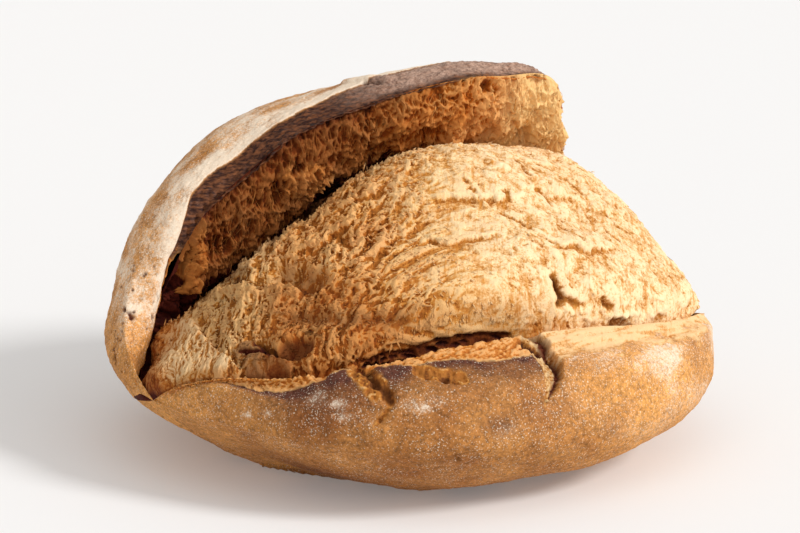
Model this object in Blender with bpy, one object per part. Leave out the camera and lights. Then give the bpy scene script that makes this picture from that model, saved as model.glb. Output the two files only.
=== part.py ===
"""Round country loaf, risen open along one long slash.

The loaf is one solid. Its sections across the slash are closed curves through named lines: the floury
back crust, the dark rim of the lifted ear, the torn crumb under it, the crevice, the risen crumb dome,
the crack at its foot and the front crust with its torn lip. Sections shrink towards both slash ends.
Lengths are in millimetres and become metres in the last step.
"""
import itertools
import math

import bmesh
import bpy
import numpy as np

MM = 0.001

# Plan of the loaf and its widest level
SLASH_AZIMUTH = math.radians(40.0)
HALF_LENGTH = 117.0
HALF_BACK = 117.0
HALF_FRONT = 118.0
WAIST = 33.0
CENTRE_X = -0.04
CENTRE_Y = -0.41
PLAN_POWER = 2.15
END_BEND = 10.0
END_BEND_START = 0.55

# Roundness of the underside's corner and of the back's crown, at places along the slash
ROUND_STATIONS = (-1.0, -0.45, 0.0, 0.35, 1.0)
CROWN_POWERS = (2.0, 1.75, 1.95, 2.0, 2.0)

# Underside
BASE_SHARE = 0.45
FOOT_POWERS = (1.35, 1.5, 2.0, 1.6, 1.85)
BASE_RISE_AT = 0.93
BASE_RISE_POWER = 1.85
BASE_SAG = 0.3

# Stations along the slash, from the front left end to the back right end. For each line: sideways place
# as a share of the half width, and height over the widest level; both shrink towards the slash ends.
STATIONS = (-1.0, -0.9, -0.72, -0.4, 0.0, 0.4, 0.75, 1.0)
LINES = {
    "waist_back": ((-.90, -.965, -.99, -1.0, -1.0, -1.0, -1.0, -1.0), (13, 13, 9, 5, 4, 4, 4, 4)),
    "crown": ((-.70, -.68, -.67, -.63, -.55, -.50, -.50, -.88), (48, 54, 72, 87, 95, 103, 108, 72)),
    "band_edge": ((-.56, -.52, -.51, -.40, -.25, -.11, -.16, -.82), (20, 22, 66, 88, 103.5, 119, 130, 80)),
    "rim": ((-.52, -.51, -.48, -.30, -.13, .015, -.06, -.76), (6, 0, 52, 85, 100, 114, 123, 72)),
    "tear_low": ((-.50, -.48, -.44, -.33, -.19, -.08, -.16, -.76), (0, -1, 37, 50, 78, 86, 87, 44)),
    "crevice": ((-.50, -.52, -.58, -.55, -.42, -.30, -.34, -.78), (-14, -12, 8, 29, 57, 68, 65, 28)),
    "dome_start": ((-.38, -.38, -.40, -.32, -.24, -.18, -.18, -.60), (4, 8, 26, 40, 66, 78, 79, 34)),
    "dome_top": ((-.10, -.14, -.18, -.12, -.02, .04, .08, -.10), (34, 33, 43, 58, 79.5, 84, 85, 56)),
    "dome_shoulder": ((.24, .24, .28, .34, .41, .46, .48, .44), (46, 39, 43, 58, 67, 66, 71, 62)),
    "dome_foot": ((.58, .62, .64, .68, .73, .80, .88, .84), (50, 39, 37, 45, 41, 38, 34, 24)),
    "crack": ((.61, .63, .65, .68, .73, .82, .91, .88), (46, 29, 22, 26, 24, 20, 25, 17)),
    "ledge": ((.66, .70, .73, .77, .79, .86, .95, .94), (50, 35, 28, 31, 29, 25, 26, 18)),
    "lip": ((.70, .74, .79, .85, .86, .90, .99, .99), (56, 29, 29, 27, 25, 22, 24, 16)),
    "waist_front": ((1.0, 1.0, 1.0, 1.0, 1.0, 1.01, 1.02, 1.0), (-2, -2, -2, -3, -4, -4, -4, -4)),
}

# Grooves and pits, each a path in the loaf's own millimetres with its half width and depth at both ends
SCARS = (
    (((47, -90, 61), (55, -93, 54), (55, -98, 49), (49, -105, 43)), (5.0, 1.5), (8.0, 1.5)),
    (((-13, -106, 57), (-11, -110, 52), (-8, -115, 46), (-10, -118, 40)), (3.5, 2.0), (6.0, 2.0)),
    (((9, -108, 55), (16, -109, 53)), (5.0, 4.0), (2.0, 3.0)),
    (((-44, -94, 58), (-38, -96, 58)), (4.5, 4.5), (6.0, 6.0)),
    (((-33, -98, 58), (-21, -99, 59)), (3.5, 3.5), (6.0, 5.0)),
    (((57, -62, 79), (58, -68, 69)), (2.5, 2.0), (4.0, 3.0)),
    (((7, -37, 102), (47, -29, 101)), (5.0, 4.0), (1.6, 1.2)),
    (((-1, -59, 90), (39, -53, 92)), (5.0, 4.0), (1.6, 1.2)),
)

# Low lumps of the whole surface: their length, height and seed
LUMPS = ((52.0, 1.5, 11), (24.0, 1.0, 12))

SECTIONS = 80
ROWS = {"back": 22, "tear": 7, "dome": 19, "gap": 1, "ledge": 3, "front": 20}


def through(xs, ys, at):
    """Smooth curve through the points (xs, ys), read at the places given."""
    xs = np.asarray(xs, float)
    ys = np.asarray(ys, float)
    flat = (-1,) + (1,) * (ys.ndim - 1)
    step = np.diff(xs).reshape(flat)
    rise = np.diff(ys, axis=0) / step
    inner = (rise[:-1] * step[1:] + rise[1:] * step[:-1]) / (step[:-1] + step[1:])
    slope = np.concatenate([rise[:1], inner, rise[-1:]])
    i = np.clip(np.searchsorted(xs, at) - 1, 0, len(xs) - 2)
    h = step[i]
    u = (np.asarray(at).reshape(flat) - xs[i].reshape(flat)) / h
    return ((1 + 2 * u) * (1 - u) ** 2 * ys[i] + u * (1 - u) ** 2 * h * slope[i]
            + u * u * (3 - 2 * u) * ys[i + 1] + u * u * (u - 1) * h * slope[i + 1])


def closing(sigma):
    """Share of the full section left at a place along the slash."""
    return np.clip(1 - np.abs(sigma) ** PLAN_POWER, 0, None) ** (1 / PLAN_POWER)


def placed(sigma, share, over):
    """Sideways place and height of a line from its share of the half width and height over the waist."""
    k = closing(sigma)
    bend = -END_BEND * np.clip((-sigma - END_BEND_START) / (1 - END_BEND_START), 0, 1) ** 2
    half = np.where(share > 0, HALF_FRONT, HALF_BACK)
    return np.stack([k * share * half + bend, WAIST + k * over], -1)


def table_line(name, sigma):
    share, over = LINES[name]
    return placed(sigma, through(STATIONS, share, sigma), through(STATIONS, over, sigma))


def bow(a, b, turn, power=2.0):
    """Point of the quarter oval that leaves a upright and reaches b level, at a share of the turn."""
    aside = math.cos(turn * math.pi / 2) ** (2 / power)
    upward = math.sin(turn * math.pi / 2) ** (2 / power)
    return np.stack([b[:, 0] + (a[:, 0] - b[:, 0]) * aside, a[:, 1] + (b[:, 1] - a[:, 1]) * upward], -1)


def section_curves(sigma):
    """The curves of the closed sections between sharp corners, each a list of lines across all sections."""
    line = {name: table_line(name, sigma) for name in LINES}
    k = closing(sigma)
    floor = WAIST * (1 - np.minimum(k / BASE_RISE_AT, 1) ** BASE_RISE_POWER)
    foot = through(ROUND_STATIONS, FOOT_POWERS, sigma)
    round_top = through(ROUND_STATIONS, CROWN_POWERS, sigma)
    base_back, base_front, base_mid = (
        placed(sigma, np.full_like(k, share), 0 * k) for share in (-BASE_SHARE, BASE_SHARE, 0))
    base_back[:, 1] = base_front[:, 1] = floor
    base_mid[:, 1] = floor - BASE_SAG * (WAIST - floor) * (floor > 0)
    tear_height = 0.55 * line["rim"][:, 1] + 0.45 * line["tear_low"][:, 1]
    line["tear_mid"] = np.stack([line["rim"][:, 0] + 0.6 * k, tear_height], -1)
    waist, crown = line["waist_back"], line["crown"]
    back = [base_mid, base_back] + [bow(waist, base_back, t, foot) for t in (0.67, 0.33)]
    back += [waist] + [bow(waist, crown, t, round_top) for t in (0.33, 0.67)]
    back += [crown, line["band_edge"], line["rim"]]
    front = [line["lip"]] + [bow(line["waist_front"], line["lip"], t) for t in (0.6, 0.3)]
    front += [line["waist_front"]] + [bow(line["waist_front"], base_front, t, foot) for t in (0.33, 0.67)]
    front += [base_front, base_mid]
    dome = ("crevice", "dome_start", "dome_top", "dome_shoulder", "dome_foot", "crack")
    return {
        "back": back,
        "tear": [line[n] for n in ("rim", "tear_mid", "tear_low", "crevice")],
        "dome": [line[n] for n in dome],
        "gap": [line["crack"], line["ledge"]],
        "ledge": [line["ledge"], line["lip"]],
        "front": front,
    }


def loaf_grid(sigma):
    """Points of the loaf, one closed row of points for each section."""
    middle = len(sigma) // 2
    rows = []
    for name, lines in section_curves(sigma).items():
        lines = np.stack(lines)
        reach = np.linalg.norm(np.diff(lines[:, middle], axis=0), axis=1)
        chord = np.concatenate([[0], np.cumsum(reach ** 0.7)])
        at = np.linspace(0, chord[-1], ROWS[name], endpoint=False)
        if len(lines) > 2:
            rows.append(through(chord, lines, at))
        else:
            rows.append(lines[:1] + (lines[1:] - lines[:1]) * (at / chord[-1])[:, None, None])
    across = np.concatenate(rows).transpose(1, 0, 2)
    s = sigma[:, None] * HALF_LENGTH
    x = s * math.cos(SLASH_AZIMUTH) + across[..., 0] * math.sin(SLASH_AZIMUTH)
    y = s * math.sin(SLASH_AZIMUTH) - across[..., 0] * math.cos(SLASH_AZIMUTH)
    return np.stack([x - CENTRE_X, y - CENTRE_Y, np.maximum(across[..., 1], 0)], -1)


def grid_normals(grid):
    """Outward directions of the grid, from its neighbours along and across."""
    along = np.gradient(grid, axis=0)
    across = np.roll(grid, -1, 1) - np.roll(grid, 1, 1)
    normal = np.cross(along, across)
    normal /= np.maximum(np.linalg.norm(normal, axis=2, keepdims=True), 1e-9)
    return normal if (normal * (grid - grid.mean((0, 1)))).sum() > 0 else -normal


def path_gap(points, path):
    """Distance of each point from a path, and how far along the path its nearest place is."""
    nearest = np.full(points.shape[:-1], 1e9)
    place = np.zeros(points.shape[:-1])
    path = np.asarray(path, float)
    for n, (a, b) in enumerate(zip(path[:-1], path[1:])):
        u = np.clip((points - a) @ (b - a) / ((b - a) @ (b - a)), 0, 1)
        gap = np.linalg.norm(points - a - u[..., None] * (b - a), axis=-1)
        place = np.where(gap < nearest, (n + u) / (len(path) - 1), place)
        nearest = np.minimum(gap, nearest)
    return nearest, place


def lump(points, length, seed):
    """Smooth random height from -1 to 1 with lumps of the given length."""
    values = np.random.default_rng(seed).uniform(-1, 1, (16, 16, 16))
    place = points / length + 8
    cell = np.floor(place).astype(int)
    u = place - cell
    u = u * u * (3 - 2 * u)
    total = np.zeros(points.shape[:-1])
    for i, j, k in itertools.product((0, 1), repeat=3):
        share = np.prod(np.where((i, j, k), u, 1 - u), axis=-1)
        total += share * values[tuple(((cell + (i, j, k)) % 16).reshape(-1, 3).T)].reshape(total.shape)
    return total


def relief(grid):
    """Height added along the outward direction: lumps, less the grooves and pits."""
    height = np.zeros(grid.shape[:2])
    for length, rise, seed in LUMPS:
        height += rise * lump(grid, length, seed)
    for path, widths, depths in SCARS:
        gap, place = path_gap(grid, path)
        width = widths[0] + (widths[1] - widths[0]) * place
        depth = depths[0] + (depths[1] - depths[0]) * place
        height -= depth * np.exp(-(gap / width) ** 2)
    return height


def loaf_points():
    sigma = -np.cos(np.linspace(0, math.pi, SECTIONS + 1))[1:-1]
    grid = loaf_grid(sigma)
    raised = grid + grid_normals(grid) * relief(grid)[..., None]
    settled = np.where(grid[..., 2:] < 0.01, grid, raised)
    settled[..., 2] = np.maximum(settled[..., 2], 0)
    return settled


def build_loaf():
    grid = loaf_points()
    rows = grid.shape[1]
    work = bmesh.new()
    bmesh.ops.create_uvsphere(work, u_segments=rows, v_segments=SECTIONS, radius=1.0)
    for vert in work.verts:
        ring = round(math.acos(max(-1.0, min(1.0, -vert.co.z))) / math.pi * SECTIONS)
        if ring in (0, SECTIONS):
            vert.co = grid[0 if ring == 0 else -1].mean(0) * MM
        else:
            row = round(math.atan2(vert.co.y, vert.co.x) / (2 * math.pi) * rows) % rows
            vert.co = grid[ring - 1, row] * MM
    bmesh.ops.recalc_face_normals(work, faces=work.faces)
    mesh = bpy.data.meshes.new("loaf")
    work.to_mesh(mesh)
    work.free()
    return bpy.data.objects.new("loaf", mesh)


def crust_material():
    material = bpy.data.materials.new("baked_crust")
    material.use_nodes = True
    shader = material.node_tree.nodes["Principled BSDF"]
    shader.inputs["Base Color"].default_value = (0.45, 0.24, 0.10, 1.0)
    shader.inputs["Roughness"].default_value = 0.8
    return material


def main():
    for thing in list(bpy.data.objects):
        bpy.data.objects.remove(thing)
    home = bpy.data.collections.new("country_loaf")
    bpy.context.scene.collection.children.link(home)
    loaf = build_loaf()
    loaf.data.materials.append(crust_material())
    home.objects.link(loaf)


main()
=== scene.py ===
"""Looks of a round country loaf, risen open along one long slash.

The loaf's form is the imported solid's: closed sections across the slash, through named lines. Here it is cut
into its back crust, front crust, risen dome and the torn crumb under the ear, each a fine surface with the
relief of its own finish. Lengths are in millimetres and become metres when a mesh is made.
"""
import functools
import itertools
import math

import bpy
import numpy as np
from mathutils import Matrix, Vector


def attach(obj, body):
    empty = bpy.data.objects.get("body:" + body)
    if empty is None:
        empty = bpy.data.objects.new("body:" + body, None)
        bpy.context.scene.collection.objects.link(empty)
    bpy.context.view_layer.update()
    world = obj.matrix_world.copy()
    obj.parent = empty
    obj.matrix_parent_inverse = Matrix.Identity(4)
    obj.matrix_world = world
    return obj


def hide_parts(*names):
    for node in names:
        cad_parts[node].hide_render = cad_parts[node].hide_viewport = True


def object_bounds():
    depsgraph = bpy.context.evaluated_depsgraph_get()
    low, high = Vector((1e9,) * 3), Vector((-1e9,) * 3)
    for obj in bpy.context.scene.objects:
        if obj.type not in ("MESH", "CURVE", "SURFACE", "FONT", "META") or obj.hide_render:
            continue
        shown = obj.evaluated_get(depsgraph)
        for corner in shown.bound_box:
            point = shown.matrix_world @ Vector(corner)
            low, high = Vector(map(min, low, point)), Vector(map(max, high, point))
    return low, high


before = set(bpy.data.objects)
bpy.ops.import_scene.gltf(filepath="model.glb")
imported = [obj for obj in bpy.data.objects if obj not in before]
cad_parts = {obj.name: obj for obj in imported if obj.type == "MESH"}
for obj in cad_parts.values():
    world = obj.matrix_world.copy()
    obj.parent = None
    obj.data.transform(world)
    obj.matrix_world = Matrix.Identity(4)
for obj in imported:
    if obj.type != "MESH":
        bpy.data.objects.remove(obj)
CAD_BOX = [list(corner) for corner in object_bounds()]

bl_info = {
    "name": "Country Loaf",
    "version": (1, 0, 0),
    "blender": (4, 5, 0),
    "location": "3D View > Sidebar > Loaf",
    "description": "Builds a floury country loaf with a scorched ear and a torn, risen crumb dome",
    "category": "Add Mesh",
}

MM = 0.001
NODE = "loaf"

# Plan of the loaf and its widest level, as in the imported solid
SLASH_AZIMUTH = math.radians(40.0)
HALF_LENGTH = 117.0
HALF_BACK = 117.0
HALF_FRONT = 118.0
WAIST = 33.0
CENTRE_X = -0.04
CENTRE_Y = -0.41
PLAN_POWER = 2.15
END_BEND = 10.0
END_BEND_START = 0.55

# Roundness of the underside's corner and of the back's crown, at places along the slash
ROUND_STATIONS = (-1.0, -0.45, 0.0, 0.35, 1.0)
CROWN_POWERS = (2.0, 1.75, 1.95, 2.0, 2.0)

# Underside
BASE_SHARE = 0.45
FOOT_POWERS = (1.35, 1.5, 2.0, 1.6, 1.85)
BASE_RISE_AT = 0.93
BASE_RISE_POWER = 1.85
BASE_SAG = 0.3

# Lines at stations from the slash's front left end: sideways share of the half width, height over WAIST
STATIONS = (-1.0, -0.9, -0.72, -0.4, 0.0, 0.4, 0.75, 1.0)
LINES = {
    "waist_back": ((-.90, -.965, -.99, -1.0, -1.0, -1.0, -1.0, -1.0), (13, 13, 9, 5, 4, 4, 4, 4)),
    "crown": ((-.70, -.68, -.67, -.63, -.55, -.50, -.50, -.88), (48, 54, 72, 87, 95, 103, 108, 72)),
    "band_edge": ((-.56, -.52, -.51, -.40, -.25, -.11, -.16, -.82), (20, 22, 66, 88, 103.5, 119, 130, 80)),
    "rim": ((-.52, -.51, -.48, -.30, -.13, .015, -.06, -.76), (6, 0, 52, 85, 100, 114, 123, 72)),
    "tear_low": ((-.50, -.48, -.44, -.33, -.19, -.08, -.16, -.76), (0, -1, 37, 50, 78, 86, 87, 44)),
    "crevice": ((-.50, -.52, -.58, -.55, -.42, -.30, -.34, -.78), (-14, -12, 8, 29, 57, 68, 65, 28)),
    "dome_start": ((-.38, -.38, -.40, -.32, -.24, -.18, -.18, -.60), (4, 8, 26, 40, 66, 78, 79, 34)),
    "dome_top": ((-.10, -.14, -.18, -.12, -.02, .04, .08, -.10), (34, 33, 43, 58, 79.5, 84, 85, 56)),
    "dome_shoulder": ((.24, .24, .28, .34, .41, .46, .48, .44), (46, 39, 43, 58, 67, 66, 71, 62)),
    "dome_foot": ((.58, .62, .64, .68, .73, .80, .88, .84), (50, 39, 37, 45, 41, 38, 34, 24)),
    "crack": ((.61, .63, .65, .68, .73, .82, .91, .88), (46, 29, 22, 26, 24, 20, 25, 17)),
    "ledge": ((.66, .70, .73, .77, .79, .86, .95, .94), (50, 35, 28, 31, 29, 25, 26, 18)),
    "lip": ((.70, .74, .79, .85, .86, .90, .99, .99), (56, 29, 29, 27, 25, 22, 24, 16)),
    "waist_front": ((1.0, 1.0, 1.0, 1.0, 1.0, 1.01, 1.02, 1.0), (-2, -2, -2, -3, -4, -4, -4, -4)),
}

# Low lumps of the whole surface: their length, height and seed
LUMPS = ((52.0, 1.5, 11), (24.0, 1.0, 12))

# Dark band along the rim of the ear: its width at places along the slash
SCORCH_STATIONS = (-1.0, -0.76, -0.68, -0.61, -0.5, -0.4, -0.24, -0.08, 0.1, 0.4, 0.6, 0.7, 0.8, 0.9, 1.0)
SCORCH_WIDTHS = (0.0, 1.2, 5.5, 10.5, 12.0, 13.0, 15.5, 18.0, 21.0, 27.0, 26.0, 18.0, 9.0, 3.0, 1.0)

# Marks: path in loaf millimetres, half width, rise outwards, and power of the side, 2 round to 6 steep
EAR_MARKS = (
    (((-44, 0, 108),), 2.4, -4.5, 4), (((-66, -8, 103),), 1.5, -2.5, 3), (((-59, -6, 95),), 2.1, -3.0, 3),
    (((32, 25, 136), (35, 27, 135)), 2.6, -4.5, 4), (((43, 39, 117),), 2.2, -4.5, 3),
    (((48, 47, 110), (48, 50, 106)), 4.2, -6.0, 4), (((7, 25, 114), (11, 26, 114)), 3.0, -4.0, 3),
    (((-73, -12, 79),), 4.5, -3.0, 2), (((-51, -3, 99),), 3.0, -2.0, 2), (((-19, 9, 118),), 3.5, -1.8, 2),
    (((37, 28, 136), (32, 25, 132), (28, 25, 127), (23, 25, 122), (16, 25, 118)), 1.1, 2.6, 2),
    (((-83, -14, 88), (-85, -16, 80), (-85, -18, 73)), 3.6, 5.0, 2),
    (((-82, -15, 78), (-84, -19, 70), (-83, -21, 64)), 3.0, 5.0, 2),
    (((-43, 0, 102), (-35, 5, 101)), 8.0, 3.0, 2),
)
DOME_MARKS = (
    (((42, 5, 110), (44, -1, 108), (47, -5, 106)), 0.8, -1.1, 2),
    (((36, -36, 99), (42, -39, 96), (49, -44, 91), (57, -47, 88)), 0.7, -1.2, 2),
    (((77, -4, 93), (80, -6, 91), (83, -9, 88)), 0.9, -1.8, 2),
    (((78, -18, 89), (81, -19, 87), (84, -23, 84)), 0.7, -1.3, 2),
    (((37, -23, 104), (39, -27, 102)), 1.0, -1.8, 2),
    (((54, -61, 80), (56, -63, 77)), 1.3, -4.0, 2),
    (((56, -64, 76), (58, -65, 73), (57, -67, 70)), 1.7, -3.6, 2),
    (((60, -65, 71), (64, -64, 69)), 1.5, -2.0, 2), (((73, -55, 69), (76, -54, 65)), 1.2, -2.6, 2),
    (((-18, -80, 73), (-11, -82, 75), (-4, -84, 76)), 1.0, -1.2, 2),
    (((61, 12, 99), (68, 3, 97)), 0.7, -0.9, 2), (((59, -33, 92), (67, -38, 86)), 0.7, -1.0, 2),
    (((21, -22, 107), (25, -28, 104)), 0.8, -1.2, 2), (((53, -14, 103), (57, -20, 100)), 0.7, -1.0, 2),
    (((-51, -86, 58), (-57, -77, 59)), 1.6, -2.4, 2),
)
DOME_HOLLOWS = (
    (((-47, -47, 78), (-41, -54, 78), (-36, -60, 77)), 5.4, -4.0, 3),
    (((-43, -73, 67), (-24, -86, 69), (-4, -91, 71)), 3.6, -1.5, 2),
)
POCKETS = (
    (((-44, -88, 59), (-39, -90, 60)), 4.4, -4.6, 4),
    (((-62, -80, 56), (-54, -84, 57), (-46, -89, 56)), 1.3, -2.6, 3),
)
LEDGE_POCKETS = ((((-31, -99, 55), (-25, -97, 56), (-19, -96, 57)), 3.6, -4.6, 6),)
BACK_MARKS = (
    (((-24, 38, 136), (-15, 30, 138), (-9, 26, 138)), 3.2, 1.6, 4),
    (((-18, 29, 137), (-11, 25, 138)), 0.9, -2.2, 2),
    (((-109, -30, 58), (-108, -32, 54)), 1.0, -1.6, 2), (((-112, -36, 44), (-111, -40, 40)), 0.9, -1.4, 2),
)
FRONT_MARKS = (
    (((17, -118, 27), (18, -118, 24)), 0.8, -1.4, 2), (((51, -107, 34), (53, -106, 33)), 0.5, -0.7, 2),
    (((57, -103, 34), (60, -102, 33)), 0.5, -0.7, 2), (((74, -92, 33), (70, -96, 25)), 0.45, -0.9, 2),
    (((77, -91, 30), (74, -94, 24)), 0.5, -1.1, 2), (((93, -70, 41),), 0.5, -0.7, 2),
    (((103, -58, 41), (102, -59, 38)), 0.5, -0.6, 2),
    (((101, -30, 53), (99, -46, 53), (100, -50, 50)), 0.7, -1.4, 2),
    (((46, -89, 61), (52, -86, 60), (55, -84, 59)), 0.5, -0.8, 2),
    (((27, -109, 56), (35, -105, 57)), 0.6, -1.2, 2), (((19, -110, 56), (23, -109, 57)), 0.5, -1.0, 2),
)
NOTCH_MARKS = (
    (((-18, -103, 58), (-14, -107, 55), (-12, -111, 51)), 1.8, -3.5, 2),
    (((-17, -106, 55), (-11, -112, 50)), 4.2, -0.8, 4), (((-8, -112, 50), (-7, -114, 47)), 2.2, -3.2, 3),
    (((-7, -115, 45), (-9, -117, 42), (-12, -118, 39)), 0.8, -1.8, 2),
    (((42, -86, 58), (46, -86, 57)), 2.6, -3.6, 4),
    (((5, -108, 55), (11, -109, 54), (18, -109, 53)), 3.0, -1.4, 5), (((13, -110, 52),), 1.6, -2.6, 3),
)

# Flour left in spots on the front: place, half width and strength
FLOUR_SPOTS = (
    ((-59, -99, 37), 1.8, 0.7), ((-52, -102, 39), 2.6, 0.8), ((-46, -103, 21), 2.6, 0.8),
    ((-41, -108, 27), 2.4, 0.8), ((-25, -111, 45), 2.5, 0.7), ((-23, -113, 41), 2.6, 0.5),
    ((-12, -116, 39), 2.4, 0.6), ((1, -115, 45), 4.5, 0.5), ((11, -114, 47), 3.6, 0.85),
    ((5, -115, 45), 3.4, 0.7), ((26, -108, 52), 2.4, 0.6), ((59, -86, 56), 3.0, 0.3),
    ((83, -73, 49), 2.2, 0.85), ((75, -79, 45), 3.0, 0.2), ((45, -104, 40), 3.0, 0.5),
    ((32, -113, 36), 4.5, 0.5), ((-71, -85, 47), 5.0, 0.4), ((-34, -106, 47), 4.5, 0.5),
    ((46, -90, 52), 3.0, 0.5), ((96, -58, 47), 5.0, 0.2),
)

# Middle of a dark stain under the lip
STAIN = (32, -113, 38)

# Big crack of the front: its left and right edges along the slash, and its depth, at heights
CRACK_HEIGHTS = (43.0, 46.0, 51.0, 55.0, 58.0, 61.0)
CRACK_LEFT = (-30.5, -29.5, -27.8, -26.0, -25.0, -24.0)
CRACK_RIGHT = (-29.8, -25.5, -19.3, -16.2, -14.5, -13.5)
CRACK_DEPTH = (0.5, 2.0, 4.5, 6.0, 6.5, 4.5)

# Torn layers of the dome: edges as (along, across), the layer on the right of its path standing out
DOME_STEPS = (
    (((-16, 28), (-7, 37), (3, 42), (17, 47)), 1.7),
    (((-36, 41), (-25, 52), (-15, 57), (-3, 61)), 1.4),
    (((-62, 2), (-50, 9), (-36, 14)), 1.8),
    (((-62, 26), (-52, 34), (-40, 40)), 1.5),
    (((8, 72), (22, 74), (38, 76)), 1.6),
    (((20, 40), (38, 46), (52, 50)), 0.7),
    (((-69, 26), (-71, 13), (-76, 3), (-78, -13), (-80, -28)), 3.4),
    (((-44, -6), (-30, 4), (-18, 8)), 1.4),
    (((30, 20), (44, 24), (60, 26)), 0.6),
)

# Two flat plates at the dome's left foot: where each ends along the slash, at places across it
PLATE_ACROSS = (-40.0, -21.0, -6.0, 5.0, 18.0, 28.0, 40.0)
PLATE_END = (-83.0, -90.5, -97.5, -100.0, -103.5, -105.5, -107.0)
PLATE2_ACROSS = (17.0, 22.0, 31.0, 39.0, 44.0, 57.0)
PLATE2_END = (-96.5, -93.5, -94.8, -96.0, -94.3, -90.7)

# Each skin: its sections along the slash, the gap between its rows in millimetres, and its number of pieces
SECTIONS = {"back": 640, "front": 660, "dome": 960, "tear": 880}
ROW_GAPS = {"back": 1.15, "front": 0.95, "dome": 0.55, "tear": 0.42}
PIECES = {"back": 2, "front": 2, "dome": 4, "tear": 2}

# How close the rows of a crust lie, at shares of its way round, and the rows of the front's two short parts
CLOSENESS = {
    "back": ((0, 0.16, 0.26, 0.55, 0.75, 1), (0.3, 0.3, 0.8, 0.9, 1.3, 2.1)),
    "front": ((0, 0.25, 0.5, 0.62, 0.8, 1), (1.8, 1.3, 0.9, 0.7, 0.25, 0.25)),
}
SHORT_ROWS = (("gap", 12), ("ledge", 26))

# Grains of the finishes: length of their lumps in millimetres, detail and roughness
CRUMB_GRAINS = {"speck": (0.9, 3.0, 0.65), "mottle": (8.0, 5.0, 0.65), "fibre": (1.5, 3.0, 0.6)}
CRUST_GRAINS = {
    "broad": (20.0, 5.0, 0.6), "mottle": (2.2, 4.0, 0.65), "grain": (0.9, 3.0, 0.6),
    "streak": (1.3, 4.0, 0.6),
    # Flour's grains, under 0.1 mm, are too fine to show, so these two are as coarse as they need to be
    "dust": (1.3, 6.0, 0.8), "salt": (0.6, 1.5, 0.5),
}

# Grains that are stretched along the slash or across it
DRAWN_GRAINS = ("fibre", "streak")

# Values that each point carries for the finishes
# Crumb: painted light and shade of the relief, paler crumb partly painted light, a brown tint partly painted
# shade, and painted shade with some brown crumb
CRUMB_VALUES = ("cavity", "pale", "toast", "deep")
# Crust: tone, a dark reddish-brown band with painted shade and painted sheen, scorch, flour, painted shade in
# recesses, and torn crumb
CRUST_VALUES = ("tan", "umber", "scorch", "flour", "deep", "torn")


def hex_colour(text):
    """Linear colour, with alpha 1, of an sRGB hex value."""
    parts = [int(text[i:i + 2], 16) / 255 for i in (0, 2, 4)]
    return tuple(c / 12.92 if c <= 0.04045 else ((c + 0.055) / 1.055) ** 2.4 for c in parts) + (1.0,)


def colour_property(label, text, value):
    return bpy.props.FloatVectorProperty(
        name=label, description=text, subtype="COLOR", size=4, min=0.0, max=1.0, default=hex_colour(value))


def length_property(label, text, default, least, most):
    return bpy.props.FloatProperty(
        name=label, description=text, default=default * MM, min=least * MM, max=most * MM, unit="LENGTH")


def strength_property(label, text, default):
    return bpy.props.FloatProperty(name=label, description=text, default=default, min=0.0)


def angle_property(label, text, degrees):
    return bpy.props.FloatProperty(
        name=label, description=text, default=math.radians(degrees), subtype="ANGLE", unit="ROTATION")


class LoafSizes(bpy.types.PropertyGroup):
    """Sizes that a user would change."""

    crust_thickness: length_property(
        "Crust thickness", "Thickness of the crust where the slash lays it bare", 2.6, 1.0, 6.0)
    fibre_height: length_property("Fibre height", "Height of the torn fibres on the dome", 0.9, 0.0, 3.0)
    grain_height: length_property("Grain height", "Height of the crumb's grain on the dome", 0.8, 0.0, 3.0)
    cell_depth: length_property("Cell depth", "Depth of the open cells under the ear", 2.2, 0.0, 5.0)
    flour_amount: bpy.props.FloatProperty(
        name="Flour amount", description="Share of the floured places that flour covers",
        default=0.75, min=0.0, max=1.0, subtype="FACTOR")


class LoafColours(bpy.types.PropertyGroup):
    """Colours that a user would change."""

    crust_light: colour_property("Light crust", "Thinly baked crust", "d2944e")
    crust_dark: colour_property("Dark crust", "Well baked crust", "8c5424")
    flour: colour_property("Flour", "Flour left on the crust", "f1e2cc")
    scorch: colour_property("Scorch", "Scorched rim of the ear", "30140a")
    # The two crumb colours end a ramp that paints the relief's light and shade: lighter tips, darker hollows
    crumb_light: colour_property("Light crumb", "Tips of the torn crumb", "f3cb8c")
    crumb_dark: colour_property("Dark crumb", "Hollows of the torn crumb", "a4601e")


def sizes():
    return bpy.context.scene.loaf_sizes


def colours():
    return bpy.context.scene.loaf_colours


def smooth(value):
    """Eased step: 3u^2 - 2u^3 of the value held between 0 and 1."""
    u = np.clip(value, 0, 1)
    return u * u * (3 - 2 * u)


def eased(value, start, end):
    """Eased step that is 0 at the start and 1 at the end."""
    return smooth((value - start) / (end - start))


def through(xs, ys, at):
    """Smooth curve through the points (xs, ys), read at the places given: a cubic between each two points."""
    xs = np.asarray(xs, float)
    ys = np.asarray(ys, float)
    flat = (-1,) + (1,) * (ys.ndim - 1)
    step = np.diff(xs).reshape(flat)
    rise = np.diff(ys, axis=0) / step
    inner = (rise[:-1] * step[1:] + rise[1:] * step[:-1]) / (step[:-1] + step[1:])
    slope = np.concatenate([rise[:1], inner, rise[-1:]])
    i = np.clip(np.searchsorted(xs, at) - 1, 0, len(xs) - 2)
    h = step[i]
    u = (np.asarray(at).reshape(flat) - xs[i].reshape(flat)) / h
    return ((1 + 2 * u) * (1 - u) ** 2 * ys[i] + u * (1 - u) ** 2 * h * slope[i]
            + u * u * (3 - 2 * u) * ys[i + 1] + u * u * (u - 1) * h * slope[i + 1])


def closing(sigma):
    """Share of the full section left along the slash: the root of 1 - |place| ^ power."""
    return np.clip(1 - np.abs(sigma) ** PLAN_POWER, 0, None) ** (1 / PLAN_POWER)


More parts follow.
